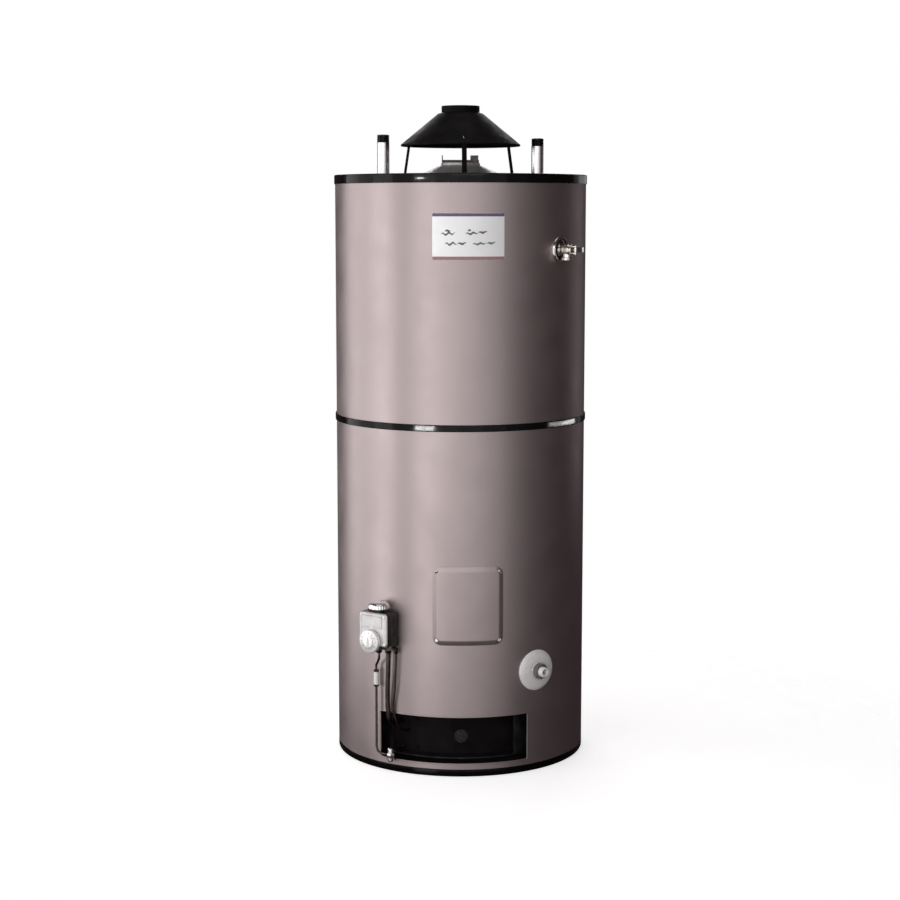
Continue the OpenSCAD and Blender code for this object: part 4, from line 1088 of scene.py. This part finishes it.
def make_tubes():
    burner = smooth_line([(-35.6, 353, TUBE_TOP + 6), (-35.6, 353, 300), (-36.2, 351, 240),
        (-36.6, 348, 190), (-36.5, 346, 158), (-36.4, 341, 140), (-36.4, 328, 129), (-36.4, 300, 124.5),
        (-36.4, 280, 124.5), (-36.4, 120, 96), (-36.4, 60, 80), (-36.4, 22, 74), (-36.4, 5, 78),
        (0, 0, 85), (0, 0, 90), (0, 0, 94)])
    bm = bmesh.new()
    sweep(bm, burner, 6.35, 24)
    piece("burner_tube_bent", bm, "burner_steel", "burner_tube")

    outer = smooth_line([(-39.6, 360, TUBE_TOP + 6), (-39.7, 359, 308), (-41.2, 353, 294),
        (-42.7, 349, 282), (-42.7, 349, 270), (-42.7, 349, 160), (-42.7, 349, 80), (-42.7, 349, 66),
        (-42.2, 349, 54), (-40.8, 349, 48), (-39, 349, 47), (-37, 349, 47), (-35.9, 349, 47)])
    inner = smooth_line([(-35, 333, 55), (-35, 290, 55), (-35, 272, 55), (-39, 230, 58), (-42, 180, 68),
        (-42, 155, 86), (-42, 152, 104), (-42, 152, 112)])
    bm = bmesh.new()
    sweep(bm, outer, 3.15, 18)
    sweep(bm, inner, 3.15, 18)
    piece("pilot_tube_bent", bm, "burner_steel", "pilot_tube")

    lead = smooth_line([(-32.2, 347.5, TUBE_TOP + 4), (-32.4, 347, 300), (-33.2, 345, 225),
        (-34.1, 343, 185), (-34.1, 342, 162), (-33.3, 339, 140), (-32.2, 325, 116), (-31.5, 300, 104),
        (-31.5, 284, 104), (-31.5, 268, 102), (-38, 205, 90), (-46, 172, 96), (-51, 162, 106),
        (-52, 160, 112), (-52, 160, 118)])
    bm = bmesh.new()
    sweep(bm, lead, 2.6, 16)
    tip = move(*polar(-52, 160, 0))
    lathe(bm, rounded([(0, 118, 0), (3.1, 118, 0.8), (3.1, 152, 2.6), (0, 152.3, 0)]), tip, 32)
    # The lead takes the near-black copper: painted shade beside the burner tube.
    piece("thermocouple_lead", bm, "copper", "thermocouple")

    nuts = bmesh.new()
    for azimuth, radius, size in ((-35.6, 353, 9.5), (-39.6, 360, 9.5), (-32.2, 347.5, 5.5)):
        place = move(*polar(azimuth, radius, TUBE_TOP)) @ turn(azimuth, "Z")
        hex_nut(nuts, place, size, 3, 17)
        lathe(nuts, rounded([(0, 0.4, 0), (size * 0.66, 0.4, 0.5), (size * 0.8, 3.2, 0.5), (0, 3.2, 0)],
            2), place, 40)
    # The nuts are drawn in the near-black brass, darker than the brass finish.
    piece("tube_nuts_hex", nuts, "brass", "tube_nuts", look=NEAR_BLACK_BRASS)

    # The filter sits on the upright part of the pilot tube.
    place = move(*polar(-42.7, 349, 0))

    barrel = turned(rounded([(3.3, 226, 0), (5.2, 226, 0.5), (5.2, 229.5, 0.5), (6.6, 231, 1.2),
        (6.6, 264, 1.2), (5.2, 265.5, 0.5), (5.2, 269, 0.5), (3.3, 269, 0)], 3), place, 48)
    piece("pilot_filter_barrel", barrel, "zinc_plate", "pilot_filter", look=FINISHES["white_plastic"])
    ends = bmesh.new()
    for z in (225.4, 264.6):
        hex_ring = [(hexagon(6.7), z), (hexagon(7.2), z + 0.8), (hexagon(7.2), z + 5.2),
            (hexagon(6.7), z + 6)]
        stack_ring(ends, hex_ring, 3.35, place)
    piece("pilot_filter_ends", ends, "zinc_plate", look=NEAR_BLACK_BRASS)

    place = turn(-35, "Z") @ move(0, -349, 0)
    elbow = turned(rounded([(0, 30, 0), (7.4, 30, 1.5), (8.4, 33, 2), (8.4, 64, 2.4), (6, 67, 1.5),
        (0, 67, 0)]), place, 56)
    hex_nut(elbow, place, 10.5, 40.5, 52.5)
    hex_nut(elbow, place @ move(0, 0, 55) @ TURN_UP, 7.2, 7, 14)
    piece("pilot_elbow_body", elbow, "nickel_brass", "pilot_elbow")


# ---------- springs ----------

def make_spring(name, place, radius, wire, fixed, moving):
    """Coil of wire round the place's +Z. fixed and moving are its ends along the place's +Z."""
    coils, steps = 5, 24
    low, high = min(fixed, moving) + wire, max(fixed, moving) - wire
    last = coils * steps
    line = []
    for k in range(last + 1):
        t = 2 * math.pi * k / steps
        line.append(place @ Vector((radius * math.cos(t), radius * math.sin(t),
            low + (high - low) * k / last)))
    bm = bmesh.new()
    sweep(bm, line, wire, 10)
    coil = piece(name + "_coil", bm, "flue_steel", name)
    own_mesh(coil)


def make_springs():
    make_spring("relief_spring", RELIEF, 6.8, 1, 35.6, 13.8)
    make_spring("pilot_spring", BUTTON_AXIS, 3.2, 0.5, -21.6, -9.4)


# ---------- combustion chamber door ----------

def make_doors():
    radius = 285.4
    for name, az0, az1 in (("inner_door", -28, 26), ("manifold_plate", -42, -28.06)):
        width = math.radians(az1 - az0) * BODY_R
        low, high = box_mm(name)
        height = high.z - low.z
        bm = skinned(panels(width, height, 3, (0, 0), (0, 1.2), (0.4, 1.5), (9, 1.5), (11, 2.6),
            (13, 2.6)))
        wrap(bm, (az0 + az1) / 2, (low.z + high.z) / 2)
        for v in bm.verts:
            flat = Vector((v.co.x, v.co.y, 0))
            v.co = flat.normalized() * (flat.length - BODY_R + radius) + Vector((0, 0, v.co.z))
        holes = bmesh.new()
        if name == "inner_door":
            round_cutter(holes, on_jacket(OPENING_AZ + 4, OPENING_MID), 15, -60, -40)
        else:
            for azimuth, z, bore in ((-36.4, 125.3, 7.6), (-35, 55, 3.7), (-31.5, 104, 3.3)):
                round_cutter(holes, on_jacket(azimuth, z), bore, -60, -40)
        piece(name + "_pressed", bm, "black_satin", name, holes=holes)


make_jackets()
make_opening_hem()
make_band()
make_base_ring()
make_top_cover()
make_nipple("cold_nipple", 1)
make_nipple("hot_nipple", -1)
make_flue_collar()
make_hood()
for leg, leg_azimuth in LEGS.items():
    make_leg(leg, leg_azimuth)
make_label()
make_panel()
make_screws()
make_gas_control()
make_relief_valve()
make_drain_valve()
make_tubes()
make_springs()
make_doors()


# ---------- floor, light and camera ----------

def make_floor():
    """Pale disc that fades out into the white surroundings."""
    bm = skinned(discs((1600, -6), (1600, -0.6), points=128))
    floor = to_object("floor", bm)
    f = Finish("floor", (0.9, 0.89, 0.885), 0.7, Emission_Color=(1, 1, 1, 1), Emission_Strength=0.62)
    f.roughness(f.noise(3), 0.6, 0.75)
    reach = f.add("VectorMath")
    reach.operation = "LENGTH"
    f.link(f.where, reach, 0)
    f.link(f.levels(reach.outputs["Value"], 0.6, 1.5, 1, 0), f.shader, "Alpha")
    floor.data.materials.append(f.material)
    floor.visible_glossy = False
    floor.visible_diffuse = False
    floor.visible_shadow = False


def softbox(name, azimuth, distance, height, width, tall, power, aim=None, only=None):
    """Rectangular lamp at a place round the heater, facing its axis; only limits what it lights."""
    light = bpy.data.lights.new(name, "AREA")
    light.shape, light.size, light.size_y = "RECTANGLE", width, tall
    light.energy = power
    obj = bpy.data.objects.new(name, light)
    obj.location = polar(azimuth, distance, height)
    target = Vector((0, 0, height if aim is None else aim))
    obj.rotation_euler = (target - obj.location).to_track_quat("-Z", "Y").to_euler()
    obj.visible_camera = False
    obj.light_linking.receiver_collection = only
    bpy.context.scene.collection.objects.link(obj)


# Wall of upright strip lamps: azimuth, power in watts at full height, and height of the foot.
STRIPS = [(-114, 20.5, -0.5), (-94, 14, -0.5), (-74, 27, -0.65), (-54, 8, -0.7), (-34, 24, -0.85),
          (-14, 15, -0.7), (6, 11.5, -0.7), (26, 7.4, -0.7), (46, 2.2, -0.4), (66, 0.5, -0.4)]
STRIP_TOP = 2.8
STRIP_TALL = 3.7


def make_lights():
    for azimuth, power, foot in STRIPS:
        tall = STRIP_TOP - foot
        softbox(f"strip_{azimuth}", azimuth, 3.2, foot + tall / 2, 1.12, tall, power * tall / STRIP_TALL)
    softbox("side_right", 126, 3.2, 1.5, 1.12, 2.4, 2.2)
    trim = bpy.data.collections.new("glossy_trim")
    for name in ("jacket_band_trim", "top_cover_skin"):
        trim.objects.link(bpy.data.objects[name])
    softbox("band_left", -34, 3, 0.604, 0.85, 0.12, 32, only=trim)
    softbox("rim_left", -37.5, 3, 1.596, 0.3, 0.14, 13, only=trim)
    softbox("band_right", 100, 3.2, 0.577, 2.3, 0.08, 11, only=trim)
    softbox("rim_right", 140, 3.2, 1.6, 1.7, 0.5, 1.6, only=trim)
    softbox("front_high", 4, 3, 2.25, 1.5, 0.5, 3.5)
    softbox("back", 176, 2.6, 2.9, 2.2, 1.2, 34, aim=0.9)
    softbox("top", 0, 0.3, 4.4, 2.4, 2.4, 24, aim=1.6)
    world = bpy.data.worlds.new("studio")
    world.use_nodes = True
    tree = world.node_tree
    background = tree.nodes["Background"]
    seen = tree.nodes.new("ShaderNodeLightPath")
    shade = tree.nodes.new("ShaderNodeMix")
    shade.data_type = "RGBA"
    shade.inputs[6].default_value = (0.035, 0.024, 0.027, 1)
    shade.inputs[7].default_value = (1, 1, 1, 1)
    tree.links.new(seen.outputs["Is Camera Ray"], shade.inputs[0])
    tree.links.new(shade.outputs[2], background.inputs["Color"])
    bpy.context.scene.world = world


def make_camera():
    camera = bpy.data.cameras.new("camera")
    camera.lens, camera.sensor_width = 74.55, 36
    obj = bpy.data.objects.new("camera", camera)
    obj.location = (-0.3087, -5.0470, 1.4657)
    obj.rotation_euler = (math.radians(90 - 7.304), 0, math.radians(-3.18))
    bpy.context.scene.collection.objects.link(obj)
    bpy.context.scene.camera = obj


make_floor()
make_lights()
make_camera()
bpy.context.scene.view_settings.view_transform = "Standard"
